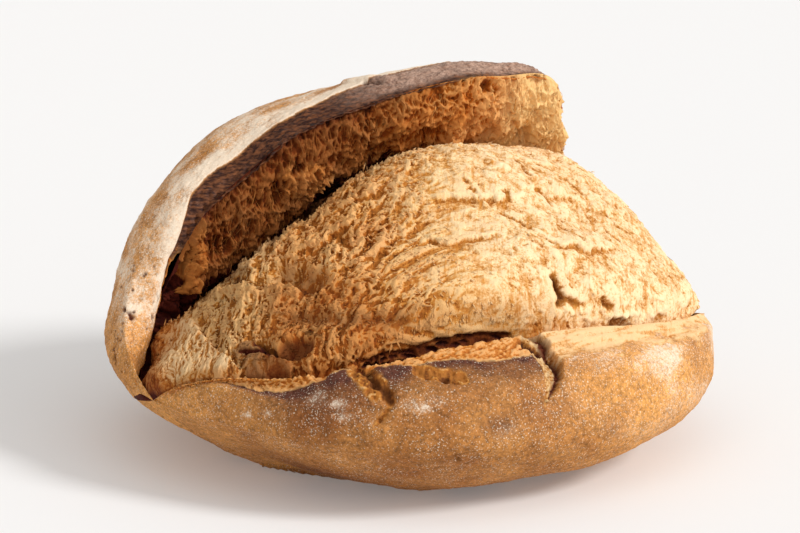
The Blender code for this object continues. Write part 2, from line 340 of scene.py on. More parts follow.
def placed(sigma, share, over):
    """Sideways place and height of a line from its share of the half width and height over the waist."""
    k = closing(sigma)
    bend = -END_BEND * np.clip((-sigma - END_BEND_START) / (1 - END_BEND_START), 0, 1) ** 2
    half = np.where(share > 0, HALF_FRONT, HALF_BACK)
    return np.stack([k * share * half + bend, WAIST + k * over], -1)


def bow(a, b, turn, power=2.0):
    """Point of the quarter oval that leaves a upright and reaches b level, at a share of the turn."""
    aside = math.cos(turn * math.pi / 2) ** (2 / power)
    upward = math.sin(turn * math.pi / 2) ** (2 / power)
    return np.stack([b[:, 0] + (a[:, 0] - b[:, 0]) * aside, a[:, 1] + (b[:, 1] - a[:, 1]) * upward], -1)


def section_curves(sigma):
    """The curves of the closed sections between sharp corners, each a list of lines across all sections."""
    line = {}
    for name, (share, over) in LINES.items():
        line[name] = placed(sigma, through(STATIONS, share, sigma), through(STATIONS, over, sigma))
    k = closing(sigma)
    floor = WAIST * (1 - np.minimum(k / BASE_RISE_AT, 1) ** BASE_RISE_POWER)
    foot = through(ROUND_STATIONS, FOOT_POWERS, sigma)
    round_top = through(ROUND_STATIONS, CROWN_POWERS, sigma)
    base_back, base_front, base_mid = (
        placed(sigma, np.full_like(k, share), 0 * k) for share in (-BASE_SHARE, BASE_SHARE, 0))
    base_back[:, 1] = base_front[:, 1] = floor
    base_mid[:, 1] = floor - BASE_SAG * (WAIST - floor) * (floor > 0)
    tear_height = 0.55 * line["rim"][:, 1] + 0.45 * line["tear_low"][:, 1]
    line["tear_mid"] = np.stack([line["rim"][:, 0] + 0.6 * k, tear_height], -1)
    waist, crown = line["waist_back"], line["crown"]
    back = [base_mid, base_back] + [bow(waist, base_back, t, foot) for t in (0.67, 0.33)]
    back += [waist] + [bow(waist, crown, t, round_top) for t in (0.33, 0.67)]
    back += [crown, line["band_edge"], line["rim"]]
    front = [line["lip"]] + [bow(line["waist_front"], line["lip"], t) for t in (0.6, 0.3)]
    front += [line["waist_front"]] + [bow(line["waist_front"], base_front, t, foot) for t in (0.33, 0.67)]
    front += [base_front, base_mid]
    dome = [line[n] for n in ("crevice", "dome_start", "dome_top", "dome_shoulder", "dome_foot", "crack")]
    return {
        "back": back,
        "tear": [line[n] for n in ("rim", "tear_mid", "tear_low", "crevice")],
        "dome": dome,
        "gap": [line["crack"], line["ledge"]],
        "ledge": [line["ledge"], line["lip"]],
        "front": front,
    }


def curve_points(name, sigma, shares):
    """Points of one curve of the sections at shares of its length, as (section, row, sideways and height)."""
    middle = np.zeros(1)
    lines = np.stack(section_curves(sigma)[name])
    centre = np.stack(section_curves(middle)[name])[:, 0]
    chord = np.concatenate([[0], np.cumsum(np.linalg.norm(np.diff(centre, axis=0), axis=1) ** 0.7)])
    if len(lines) == 2:
        points = lines[:1] + (lines[1:] - lines[:1]) * np.asarray(shares)[:, None, None]
    else:
        points = through(chord, lines, np.asarray(shares) * chord[-1])
    return points.transpose(1, 0, 2)


def even_shares(name):
    """Shares of a curve that lie its gap apart on the middle section, closer where CLOSENESS asks for it."""
    fine = np.linspace(0, 1, 400)
    line = curve_points(name, np.zeros(1), fine)[0]
    step = np.linalg.norm(np.diff(line, axis=0), axis=1) / ROW_GAPS[name]
    if name in CLOSENESS:
        step = step * np.interp((fine[1:] + fine[:-1]) / 2, *CLOSENESS[name])
    count = np.concatenate([[0], np.cumsum(step)])
    return np.interp(np.linspace(0, count[-1], max(3, round(count[-1]))), count, fine)


def to_world(sigma, across):
    """Loaf millimetres of points given by their place along the slash, sideways and height."""
    s = sigma.reshape(-1, 1) * HALF_LENGTH
    x = s * math.cos(SLASH_AZIMUTH) + across[..., 0] * math.sin(SLASH_AZIMUTH)
    y = s * math.sin(SLASH_AZIMUTH) - across[..., 0] * math.cos(SLASH_AZIMUTH)
    return np.stack([x - CENTRE_X, y - CENTRE_Y, np.maximum(across[..., 1], 0)], -1)


def slash_frame(points):
    """Places along the slash, across it and up, of points in loaf millimetres."""
    x, y, z = np.moveaxis(points + (CENTRE_X, CENTRE_Y, 0.0), -1, 0)
    along = x * math.cos(SLASH_AZIMUTH) + y * math.sin(SLASH_AZIMUTH)
    across = x * math.sin(SLASH_AZIMUTH) - y * math.cos(SLASH_AZIMUTH)
    return np.stack([along, across, z], -1)


def section_places(count):
    """Places along the slash, closer together towards both ends: minus the cosine of even angles."""
    return -np.cos(np.linspace(0, math.pi, count + 1))[1:-1]


class Surface:
    """Open grid of points on the loaf, one row of points for each section, with outward directions."""

    def __init__(self, skin, short_rows=()):
        self.sigma = section_places(SECTIONS[skin])
        curves = [(name, np.linspace(0, 1, rows, endpoint=False)) for name, rows in short_rows]
        curves.append((skin, even_shares(skin)))
        parts = [curve_points(name, self.sigma, shares) for name, shares in curves]
        self.starts = np.cumsum([0] + [len(shares) for _, shares in curves])
        self.base = to_world(self.sigma, np.concatenate(parts, 1))
        steps = np.linalg.norm(np.diff(self.base, axis=1), axis=2)
        self.run = np.concatenate([np.zeros((len(self.sigma), 1)), np.cumsum(steps, 1)], 1)
        self.left = self.run[:, -1:] - self.run
        self.along = np.broadcast_to(self.sigma[:, None] * HALF_LENGTH, self.run.shape)
        self.size = np.broadcast_to(closing(self.sigma)[:, None], self.run.shape)
        self.local = slash_frame(self.base)
        self.normal, self.down = self.directions()
        self.points = self.base.copy()
        self.values = {}

    def directions(self):
        """Outward direction of the grid, softened at corners, and the direction in which the rows run."""
        along = np.gradient(self.base, axis=0)
        rows = np.gradient(self.base, axis=1)
        normal = unit(np.cross(rows, along))
        for _ in range(3):
            normal[:, 1:-1] = (normal[:, :-2] + 2 * normal[:, 1:-1] + normal[:, 2:]) / 4
        return unit(normal), unit(rows)

    def swell(self, height):
        """Raise the crust by its lumps and a height, but not where it rests on the floor."""
        self.raise_by(np.where(self.base[..., 2] < 0.01, 0, lumps(self) + height))

    def raise_by(self, height):
        """Move each point outwards by its height."""
        self.points = self.points + self.normal * height[..., None]

    def slide_by(self, distance):
        """Move each point along its row by its distance."""
        self.points = self.points + self.down * distance[..., None]

    def rest(self):
        """No point lies under the floor."""
        self.points[..., 2] = np.maximum(self.points[..., 2], 0)

    def laid(self, path):
        """The path with each of its points moved to the nearest point of the surface."""
        flat = self.base.reshape(-1, 3)
        return np.array([flat[((flat - point) ** 2).sum(1).argmin()] for point in np.asarray(path, float)])

    def marked(self, marks, ragged):
        """Heights of the marks, each rise * exp(-(gap / width)^power) about its path, and their cover."""
        height = np.zeros(self.run.shape)
        cover = height.copy()
        places = self.base + ragged * wander(self.base / 2.6, 7)
        for path, width, rise, power in marks:
            path = self.laid(path)
            near = ((places > path.min(0) - 3 * width) & (places < path.max(0) + 3 * width)).all(-1)
            shape = np.exp(-(path_gap(places[near], path)[0] / width) ** power)
            height[near] += rise * shape
            cover[near] = np.maximum(cover[near], shape)
        return height, cover


def unit(vectors):
    """Vectors divided by their own lengths."""
    return vectors / np.maximum(np.linalg.norm(vectors, axis=-1, keepdims=True), 1e-9)


def path_gap(points, path):
    """Distance of each point to a path, the share of the path where it is nearest, and its side in the plan,
    which is 1 on the path's left and -1 on its right."""
    if len(path) == 1:
        path = np.repeat(path, 2, 0)
    nearest = np.full(points.shape[:-1], 1e9)
    place = np.zeros_like(nearest)
    side = np.zeros_like(nearest)
    for n, (a, b) in enumerate(zip(path[:-1], path[1:])):
        way, apart = b - a, points - a
        u = np.clip(apart @ way / max(way @ way, 1e-9), 0, 1)
        gap = np.linalg.norm(apart - u[..., None] * way, axis=-1)
        closer = gap < nearest
        place = np.where(closer, (n + u) / (len(path) - 1), place)
        side = np.where(closer, np.sign(way[0] * apart[..., 1] - way[1] * apart[..., 0]), side)
        nearest = np.minimum(gap, nearest)
    return nearest, place, side


def lump(points, length, seed):
    """Smooth random height, -1 to 1, with lumps of the given length: values on a lattice, eased between."""
    values = np.random.default_rng(seed).uniform(-1, 1, (16, 16, 16))
    place = points / length + 8
    cell = np.floor(place).astype(int)
    u = smooth(place - cell)
    total = np.zeros(points.shape[:-1])
    for corner in itertools.product((0, 1), repeat=3):
        share = np.prod(np.where(corner, u, 1 - u), axis=-1)
        total += share * values[tuple(((cell + corner) % 16).reshape(-1, 3).T)].reshape(total.shape)
    return total


def ripple(points, seed):
    """Gradient noise, about -1 to 1: random slopes on a lattice, blended by 6u^5 - 15u^4 + 10u^3."""
    slopes = np.random.default_rng(seed).normal(size=(32, 32, 32, 3))
    slopes /= np.linalg.norm(slopes, axis=3, keepdims=True)
    cell = np.floor(points).astype(int)
    u = points - cell
    ease = u ** 3 * (u * (u * 6 - 15) + 10)
    total = np.zeros(points.shape[:-1])
    for corner in itertools.product((0, 1), repeat=3):
        i, j, k = np.moveaxis((cell + corner) % 32, -1, 0)
        share = np.prod(np.where(corner, ease, 1 - ease), axis=-1)
        total += share * ((u - corner) * slopes[i, j, k]).sum(-1)
    return total * 1.6


def wander(points, seed):
    """Random vectors that change smoothly from place to place: one gradient noise for each direction."""
    return np.stack([ripple(points, seed + n) for n in range(3)], -1)


def octaves(points, size, seed, count, fall=0.5):
    """Sum of gradient noises, each of half the length and a share of the height of the one before."""
    total = np.zeros(points.shape[:-1])
    for n in range(count):
        total += fall ** n * ripple(points * (2 ** n) / np.asarray(size), seed + n)
    return total


def cells(points, seed):
    """Distances to the nearest and second nearest of one random place in each unit cube, and its number."""
    draw = np.random.default_rng(seed)
    jitter = draw.uniform(0, 1, (32, 32, 32, 3))
    number = draw.uniform(0, 1, (32, 32, 32))
    cell = np.floor(points).astype(int)
    first = np.full(points.shape[:-1], 9.0)
    second = first.copy()
    own = np.zeros_like(first)
    for offset in itertools.product((-1, 0, 1), repeat=3):
        i, j, k = np.moveaxis((cell + offset) % 32, -1, 0)
        gap = np.linalg.norm(points - (cell + offset + jitter[i, j, k]), axis=-1)
        second = np.minimum(second, np.maximum(first, gap))
        own = np.where(gap < first, number[i, j, k], own)
        first = np.minimum(first, gap)
    return first, second, own


def thatch(surface, place, length, width, seed):
    """Torn strands laid like thatch: each climbs along the rows to a tip and drops, all out of step."""
    phase = surface.run / length + ripple(place / (width, 9 * width, 9 * width), seed)
    phase = phase + 0.8 * ripple(place / (3.5 * width, 6 * width, 6 * width), seed + 1)
    climb = phase % 1
    return climb ** 1.6 * eased(climb, 1, 0.84)


def held(**values):
    """Values by name, each held between 0 and 1."""
    return {name: np.clip(value, 0, 1) for name, value in values.items()}


def lumps(surface):
    """Sum of the low lumps of the whole loaf, each a smooth random height times its rise."""
    return sum(rise * lump(surface.base, length, seed) for length, rise, seed in LUMPS)


def tube_faces(rings, rows):
    """Corner numbers of a closed tube of rings, its rows joined round, with a point at each end."""
    ring = np.arange(rings - 1)[:, None] * rows
    row = np.arange(rows)[None]
    after = (row + 1) % rows
    quads = np.stack([ring + row, ring + rows + row, ring + rows + after, ring + after], -1).reshape(-1, 4)
    first, last = rings * rows, rings * rows + 1
    near, far = row[0], (rings - 1) * rows + row[0]
    ends = np.concatenate([
        np.stack([np.full(rows, first), near, after[0]], -1),
        np.stack([np.full(rows, last), (rings - 1) * rows + after[0], far], -1)])
    return quads, ends


def make_mesh(name, points, quads, triangles, values, material, boxed=True):
    """Mesh object at the origin from arrays of points in millimetres, faces and values for each point."""
    mesh = bpy.data.meshes.new(name)
    points = points * MM
    if boxed:
        points = np.clip(points, np.array(CAD_BOX[0]) + 2e-5, np.array(CAD_BOX[1]) - 2e-5)
    corners = np.concatenate([quads.ravel(), triangles.ravel()]).astype(np.int32)
    sides = np.concatenate([np.full(len(quads), 4), np.full(len(triangles), 3)])
    starts = np.concatenate([[0], np.cumsum(sides)[:-1]]).astype(np.int32)
    mesh.vertices.add(len(points))
    mesh.vertices.foreach_set("co", points.astype(np.float32).ravel())
    mesh.loops.add(len(corners))
    mesh.loops.foreach_set("vertex_index", corners)
    mesh.polygons.add(len(sides))
    mesh.polygons.foreach_set("loop_start", starts)
    mesh.update(calc_edges=True)
    mesh.shade_smooth()
    for key, data in values.items():
        mesh.attributes.new(key, "FLOAT", "POINT").data.foreach_set("value", data.astype(np.float32).ravel())
    piece = bpy.data.objects.new(name, mesh)
    bpy.context.scene.collection.objects.link(piece)
    mesh.materials.append(material)
    return piece


def turned_in(points, quads):
    """Whether the faces enclose a negative volume: the sum of each face's corner products."""
    a, b, c, d = (points[quads[:, i]] for i in range(4))
    return ((a * np.cross(b, c)).sum() + (a * np.cross(c, d)).sum()) < 0


def close_surface(name, surface, hidden, material, first, last):
    """Closed piece of a surface and its hidden rows between two rings, the faces turned outwards."""
    grid = np.concatenate([surface.points, hidden], 1)[first:last]
    rings, rows = grid.shape[:2]
    points = np.concatenate([grid.reshape(-1, 3), [grid[0].mean(0), grid[-1].mean(0)]])
    quads, triangles = tube_faces(rings, rows)
    if turned_in(points, quads):
        quads, triangles = quads[:, ::-1], triangles[:, ::-1]
    values = {}
    for key, data in surface.values.items():
        full = np.concatenate([data, np.repeat(data[:, -1:], hidden.shape[1], 1)], 1)[first:last]
        values[key] = np.concatenate([full.ravel(), [full[0].mean(), full[-1].mean()]])
    piece = make_mesh(name, points, quads, triangles, values, material)
    sharpen_ends(piece.data, rings, rows)
    return piece


def sharpen_ends(mesh, rings, rows):
    """The first and last ring's edges are sharp, so that a cut end doesn't shade the skin beside it."""
    ends = np.empty(len(mesh.edges) * 2, np.int32)
    mesh.edges.foreach_get("vertices", ends)
    ring = np.minimum(ends.reshape(-1, 2) // rows, rings)
    sharp = (ring[:, 0] == ring[:, 1]) & ((ring[:, 0] == 0) | (ring[:, 0] == rings - 1))
    mesh.attributes.new("sharp_edge", "BOOLEAN", "EDGE").data.foreach_set("value", sharp)


def close_in_parts(name, surface, hidden, material, count):
    """A surface's closed pieces, cut between rings that the neighbours share."""
    cuts = np.linspace(0, len(surface.points) - 1, count + 1).astype(int)
    for n, (first, last) in enumerate(zip(cuts[:-1], cuts[1:])):
        mount(close_surface(f"{name}_{n + 1}", surface, hidden, material, first, last + 1))


def carried(paths, radii, sides, turn):
    """Closed spindles along many paths: a tip at both ends and rings of the given radius between them."""
    count, steps = paths.shape[:2]
    tangent = unit(np.gradient(paths, axis=1))
    across = unit(np.cross(tangent, turn[:, None]))
    beside = np.cross(tangent, across)
    angle = np.arange(sides) * 2 * math.pi / sides
    circle = across[:, :, None] * np.cos(angle)[:, None] + beside[:, :, None] * np.sin(angle)[:, None]
    rings = (paths[:, :, None] + circle * radii[..., None, None])[:, 1:-1]
    points = np.concatenate([rings.reshape(count, -1, 3), paths[:, :1], paths[:, -1:]], 1)
    quads, tips = (np.roll(faces[:, ::-1], 1, 1) for faces in tube_faces(steps - 2, sides))
    each = points.shape[1]
    shift = np.arange(count)[:, None, None] * each
    return points.reshape(-1, 3), (quads + shift).reshape(-1, 4), (tips + shift).reshape(-1, 3), each


def mount(piece):
    """The piece rides with the loaf and stands for its solid."""
    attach(piece, "root")
    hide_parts(NODE)


def plug(tree, node, sockets):
    """Each socket of a node, by name or in order, gets a value of its own or another node's output."""
    for key, value in sockets.items() if isinstance(sockets, dict) else enumerate(sockets):
        if isinstance(value, bpy.types.NodeSocket):
            tree.links.new(value, node.inputs[key])
        else:
            node.inputs[key].default_value = value


def add_node(tree, kind, sockets=(), out=0, stops=(), **settings):
    """Output of a new shader node with its settings, its sockets' values or links, and its ramp's stops."""
    node = tree.nodes.new("ShaderNode" + kind)
    for key, value in settings.items():
        setattr(node, key, value)
    plug(tree, node, sockets)
    if stops:
        while len(node.color_ramp.elements) < len(stops):
            node.color_ramp.elements.new(0.5)
        for element, (place, shade) in zip(node.color_ramp.elements, stops):
            element.position = place
            element.color = shade if isinstance(shade, tuple) else (shade, shade, shade, 1.0)
    return node.outputs[out]


def tinted(tree, base, layers):
    """A colour with layers laid over it in order, each a blend, the share that it covers and its colour."""
    for blend, share, colour in layers:
        base = add_node(tree, "Mix", {0: share, 6: base, 7: colour}, 2, data_type="RGBA", blend_type=blend)
    return base


def grain_patterns(tree, grains, stretch):
    """Noises by name, from their lumps' length, detail and roughness. The drawn ones are turned with the
    slash and stretched by the inverse of the scale given for each way."""
    even = add_node(tree, "TexCoord", out="Object")
    turn = (0.0, 0.0, -SLASH_AZIMUTH)
    drawn = add_node(tree, "Mapping", {"Vector": even, "Rotation": turn, "Scale": stretch})
    patterns = {}
    for name, (length, detail, roughness) in grains.items():
        place = drawn if name in DRAWN_GRAINS else even
        patterns[name] = add_node(tree, "TexNoise", {
            "Vector": place, "Scale": 1 / (length * MM), "Detail": detail, "Roughness": roughness}, "Fac")
    return patterns


def new_material(name):
    """A new material, its node tree and its shader."""
    material = bpy.data.materials.new(name)
    material.use_nodes = True
    tree = material.node_tree
    return material, tree, tree.nodes["Principled BSDF"]


def soften(values, times):
    """Values evened out along both ways of the grid by a 1-2-1 average, a number of times."""
    for _ in range(times):
        for axis in (0, 1):
            padded = np.concatenate([values.take([0], axis), values, values.take([-1], axis)], axis)
            count = values.shape[axis]
            before, after = padded.take(range(count), axis), padded.take(range(2, count + 2), axis)
            values = (before + 2 * values + after) / 4
    return values


def layer_steps(surface):
    """Torn layers: right of an edge the crumb swells by exp(gap / 5), and just left of it drops away."""
    total = np.zeros(surface.run.shape)
    plan = surface.local[..., :2]
    ragged = 2.6 * octaves(surface.local, (6, 9, 9), 71, 4)
    for path, rise in DOME_STEPS:
        path = np.array(path, float)
        near = ((plan > path.min(0) - 22) & (plan < path.max(0) + 22)).all(-1)
        gap, place, side = path_gap(plan[near], path)
        beyond = side * gap + ragged[near]
        ends = eased(place, 0, 0.2) * eased(place, 1, 0.8)
        above = np.exp(np.minimum(beyond, 0) / 5)
        below = -0.8 * np.exp(-np.maximum(beyond, 0) / 3)
        total[near] += rise * ends * (above + (below - above) * smooth(beyond / 1.8 + 0.5))
    return total


def dome_plates(surface):
    """Cover of the two flat plates at the left foot, and the heights of their lips and the gaps beyond."""
    along, across = surface.local[..., 0], surface.local[..., 1]
    ragged = 0.5 * ripple(surface.local / 3.0, 131)
    gap = along - np.interp(across, PLATE_ACROSS, PLATE_END) + ragged
    inside = smooth(0.5 - gap) * eased(across, 32, 28) * eased(across, -40, -36)
    height = 1.3 * inside * np.exp(-np.maximum(-gap, 0) / 9)
    beyond = (gap > 0) * eased(across, 30, 26) * eased(across, -30, -22)
    height -= 1.5 * np.exp(-np.maximum(gap, 0) / 2.0) * beyond
    gap2 = along - np.interp(across, PLATE2_ACROSS, PLATE2_END) + ragged
    window = eased(across, 16.5, 19.5) * eased(across, 62, 58)
    inside2 = smooth(0.5 - gap2 / 0.9) * window * eased(gap, 0.8, 2.3)
    height += 0.6 * inside2
    height -= 3.2 * np.exp(-np.maximum(gap2, 0) / 2.4) * (gap2 > 0) * window
    return inside, inside2, height


def dome_strands(surface, place, calm, low):
    """Height of the dome's strands, fibres and cells, rougher where less calm, and its long strokes."""
    shag = 1 - calm
    fibre_height, grain_height = sizes().fibre_height / MM, sizes().grain_height / MM
    rough = smooth(0.5 + 1.3 * ripple(place / (22, 16, 16), 91))
    torn = shag * (0.2 + 0.9 * rough) * (1 - 0.6 * low * shag)
    tall = smooth(0.5 + 1.5 * ripple(place / (6, 9, 9), 53))
    height = grain_height * torn * (
        2.6 * thatch(surface, place, 13.0, 5.0, 45) + 2.2 * tall * thatch(surface, place, 6.0, 2.0, 51)
        + 1.1 * thatch(surface, place, 3.0, 1.0, 55) - 1.7)
    cluster = smooth(0.35 + 1.8 * ripple(place / (8, 12, 12), 47))
    strokes = calm * cluster * eased(thatch(surface, place, 7.0, 1.7, 46), 0.35, 0.7)
    curls = 1 - 2.4 * np.abs(octaves(place, (2.4, 4.6, 4.6), 31, 3))
    dashes = octaves(place, (0.95, 4.5, 4.5), 41, 2)
    height += fibre_height * (curls * (0.1 + 0.42 * shag) + dashes * (0.1 + 0.15 * shag)) + 0.5 * strokes
    height += (0.15 + 0.3 * shag) * octaves(place, 1.3, 57, 2)
    height += (0.35 + 0.3 * shag) * octaves(place, 3.2, 58, 2)
    hole, _, own = cells(place / (3.2, 4.2, 4.2), 61)
    return height - (1.6 - 1.1 * calm) * eased(hole, 0.3, 0.15) * eased(own, 0.62, 0.87), strokes


def crevice_pores(surface, place):
    """Cover of the porous band beside the crevice, and how open each of its cells is."""
    rim = 7.5 + 2.4 * ripple(place / 6, 67) - 4.5 * eased(surface.along, -48, -18)
    porous = smooth((rim - surface.left) / 1.6)
    porous = porous * eased(surface.along, -78, -72) * eased(surface.along, -17, -24)
    web, web_far, own = cells(place / (2.5, 2.1, 2.1), 65)
    return porous, eased(web_far - web, 0.08, 0.33) * (0.35 + 0.65 * own)


def dome_eaves(surface):
    """Height of the eaves over the crack, which stand out and then drop, and the cover of their drop."""
    line = 7.0 + 2.6 * octaves(surface.local, (6, 30, 30), 161, 3)
    drop = smooth((line - surface.left) / 1.3 + 0.5)
    cover = eased(surface.along, 8, 16) * eased(surface.along, 66, 54)
    cover = cover * smooth(0.6 + 1.8 * ripple(surface.local / (16, 60, 60), 165))
    return cover * (np.exp(-np.abs(surface.left - line) / 4) * (1 - drop) - drop), cover * drop


@functools.lru_cache(maxsize=None)
def dome_surface():
    """Risen dome from the crevice to the crack: the sum of torn strands, cells, layers and placed marks."""
    surface = Surface("dome")
    run, left, along = surface.run, surface.left, surface.along
    x, z = surface.base[..., 0], surface.base[..., 2]
    # Paler towards the right and up: partly paler crumb, partly painted light where the lamp floods the
    # dome's right side
    pale = eased(x + 0.35 * z, 5, 85)
    calm = eased(x + 0.3 * z, -5, 60)
    shag = 1 - calm
    straight = surface.local.copy()
    straight[..., 0] += 0.84 * shag * surface.local[..., 1]
    place = straight + 3.2 * wander(straight / 12, 21) + wander(straight / 3.5, 25)
    edge = eased(run, 0, 6) * eased(left, 0, 1.5) * eased(surface.size, 0, 0.16)
    low = 80 - z + 5 * ripple(place / 14, 97)
    plate, plate2, plate_height = dome_plates(surface)
    marks, _ = surface.marked(DOME_MARKS, 1.1)
    hollow_height, hollow = surface.marked(DOME_HOLLOWS, 1.2)
    pocket_height, pocket = surface.marked(POCKETS, 0.8)
    still = (1 - 0.55 * plate) * (1 - 0.85 * plate2) * (1 - 0.85 * smooth(pocket * 1.5)) * (1 - 0.6 * hollow)
    detail, strokes = dome_strands(surface, place, calm, eased(low, -2, 8))
    detail *= still
    folds = octaves(place, (7, 11, 11), 81, 3)
    broad = 1.5 * octaves(place, (24, 30, 30), 95, 2) + (0.8 + 0.7 * shag) * folds
    porous, open_cell = crevice_pores(surface, place)
    pores = -porous * (1.5 + 2.0 * open_cell)
    eaves, eaves_drop = dome_eaves(surface)
    steps = layer_steps(surface) + eaves
    bulge = 6.0 * eased(along, -80, -88) * (1 - 0.7 * eased(along, -93, -99))
    bulge = bulge * np.exp(-((run - 14) / 9) ** 2)
    whole = bulge + steps + broad * (1 - 0.6 * plate - 0.4 * plate2)
    whole = whole + plate_height + pocket_height + marks + hollow_height
    relief = detail * (1 - 0.5 * porous) + whole * (1 - 0.4 * porous) + pores
    surface.raise_by(lumps(surface) + edge * relief)
    surface.slide_by(edge * still * (0.45 * detail + 0.5 * shag * octaves(place, 2.6, 111, 2)))
    high = detail + marks + 0.5 * pores + 0.7 * steps + 0.5 * folds
    lower = smooth(low / 10) * eased(x, 70, 30)
    foot = eased(x, -42, -67) * eased(run, 16, 30)
    browned = smooth((9 + 5 * ripple(place / 9, 131) - left) / 7) * eased(x, 62, 38)
    shadow = smooth((60 - run + 12 * ripple(place / 11, 163)) / 32)
    shadow = shadow * eased(x, -78, -64) * eased(x, 2, -24)
    # Painted shade in open pores, pockets, next to the crevice, in the ear's shadow, under the eaves and
    # below torn layers; also darker lower down and where browned
    sunk = porous * (0.4 + 0.5 * open_cell) + 0.2 * lower + 0.6 * smooth(pocket * 1.4)
    sunk += 0.6 * eased(run, 12, 0) + 0.8 * shadow + 0.4 * eaves_drop
    sunk += 0.3 * np.clip(-steps - 0.5, 0, 1) + 0.12 * browned
    # Painted shade at the left end beside the crevice
    behind = eased(along, -84, -92) * eased(run, 20, 14)
    # Painted light and shade of the relief: lighter where it stands above its softened mean, darker below it
    # and on the golden strokes
    light = 0.5 + (0.84 - 0.52 * calm) * (high - soften(high, 50) * 0.7) - 0.2 * strokes
    surface.values = held(
        cavity=np.maximum(light, 0.3 * calm),
        pale=(pale * 0.95 + 0.15 * ripple(place / 16, 121) - 0.35 * lower * (1 - plate) - 0.45 * strokes
              - 0.5 * browned + 0.4 * foot + 0.15 * plate * (1 - plate2) - 0.2 * plate2 - 0.5 * pocket),
        # Brown tint: browner where rough, lower down, on the second plate and where browned, paler at the
        # foot; painted shade in pockets, pores and next to the crevice
        toast=(0.55 * shag + 0.25 * lower - 0.56 * foot + 0.1 * plate2 + 0.4 * pocket + 0.35 * porous
               + 0.18 * ripple(place / 14, 125) + 0.6 * eased(run, 20, 4) + 0.3 * browned),
        # Painted shade in hollows, grooves and at the left end, with the second plate's own brown
        deep=sunk + 0.35 * hollow + 0.45 * plate2 + 0.3 * np.maximum(-marks - 0.8, 0) + 0.3 * behind,
    )
    return surface


def hidden_chord(surface, count, sink):
    """Rows from a surface's last row back to its first, straight but sunk into the loaf at mid way."""
    u = np.linspace(0, 1, count + 2)[1:-1][None, :, None]
    first, last = surface.points[:, :1], surface.points[:, -1:]
    rows = last + (first - last) * u
    rows[..., 2] -= sink * surface.size[:, :1] * np.sin(math.pi * u[..., 0])
    return rows


@functools.lru_cache(maxsize=None)
def ear_surface():
    """Torn crumb under the ear from the rim to the crevice: walls stand up by exp(-(gap / width)^2), the gap
    being how much nearer one cell is than the next, and the open cells between them sink in."""
    surface = Surface("tear")
    run, left, along = surface.run, surface.left, surface.along
    place = surface.local + 1.6 * wander(surface.local / 8, 201)
    edge = eased(run, 0, 1.6) * eased(left, 0, 8) * eased(surface.size, 0, 0.16)
    right = eased(along, 5, 55)
    flap_marks, flap = surface.marked(EAR_MARKS, 1.5)
    big, big_next, big_own = cells(place / (4.6, 7.0, 7.0), 211)
    small, small_next, small_own = cells(place / (1.8, 3.0, 3.0), 221)
    web = np.exp(-((big_next - big) / 0.13) ** 2) * (0.5 + big_own)
    fine_web = np.exp(-((small_next - small) / 0.16) ** 2)
    hollow = -smooth((big_next - big) / 0.5) * big_own ** 1.5
    hollow -= 0.7 * smooth((small_next - small) / 0.5) * small_own
    depth = sizes().cell_depth / MM * (1 - 0.3 * right)
    detail = depth * (0.42 * web + 0.3 * fine_web + 0.62 * hollow)
    detail += 1.1 * thatch(surface, place, 5.0, 1.5, 231) + 0.5 * octaves(place, (1.3, 3, 3), 233, 2)
    detail += octaves(place, (4.0, 8, 8), 241, 3) - 0.4
    reach = left / np.maximum(surface.size, 0.05)
    lower = np.exp(-((reach - 31) / 7) ** 2)
    broad = 2.2 * octaves(place, (12, 18, 18), 251, 2) + 2.4 * lower * octaves(place, (7, 20, 20), 261, 3)
    left_gap = eased(along, -73, -79)
    room = eased(surface.size, 0.25, 0.6)
    open_end = eased(along, -85, -89) * room
    set_in = -6.5 * left_gap * eased(run, 0, 5) * eased(left, 0, 6) * room
    surface.raise_by(lumps(surface) - 0.8 * eased(run, 0, 1) - 4.0 * open_end
                     + edge * (detail * (1 + flap) + broad + flap_marks + set_in))
    hang = 2.6 * lower * octaves(place, (2.6, 30, 30), 281, 3)
    surface.slide_by(edge * (0.6 * octaves(place, 2.5, 271, 2) + hang))
    high = detail + 0.6 * flap_marks + 0.5 * broad
    # Darker just under the crust's edge
    toast = np.exp(-run / 2.5)
    # Painted shade beside the crevice, fading away from it
    deep = 1 - smooth((reach - 19 + 3 * ripple(place / (4, 12, 12), 291)) / 9)
    bare = flap_marks < 1.2
    # Painted shade over the left part of the torn crumb, which the dome shades
    dim = 0.64 * eased(along, 36, -24)
    # Painted light over the right end, where the lamp reaches under the ear
    tip = eased(along, 42, 64)
    surface.values = held(
        # Painted light and shade of the relief, lighter on the right end
        cavity=0.49 + 0.14 * right + 0.85 * tip + 0.27 * (high - 0.6 * soften(high, 30)),
        pale=np.zeros_like(high),
        # Brown tint, painted lighter over the lit right end
        toast=1 - 0.26 * right - 0.75 * tip + 0.2 * ripple(place / 12, 285),
        # Painted shade; darkest in the recess at the left end
        deep=(deep * (1 - 0.5 * right - 0.5 * tip) + dim * (0.45 + 0.55 * bare) + 0.4 * toast * (1 - right)
              + 0.95 * left_gap * bare),
    )
    return surface


def ear_back(surface):
    """Hidden rows behind the torn crumb: straight from crevice to rim, set back into the ear."""
    rows = hidden_chord(surface, 5, 0.0)
    u = np.linspace(0, 1, 7)[1:-1]
    back = -5.0 * surface.size[:, :1] * np.sin(math.pi * u)
    rows[..., 0] += back * math.sin(SLASH_AZIMUTH)
    rows[..., 1] -= back * math.cos(SLASH_AZIMUTH)
    return rows


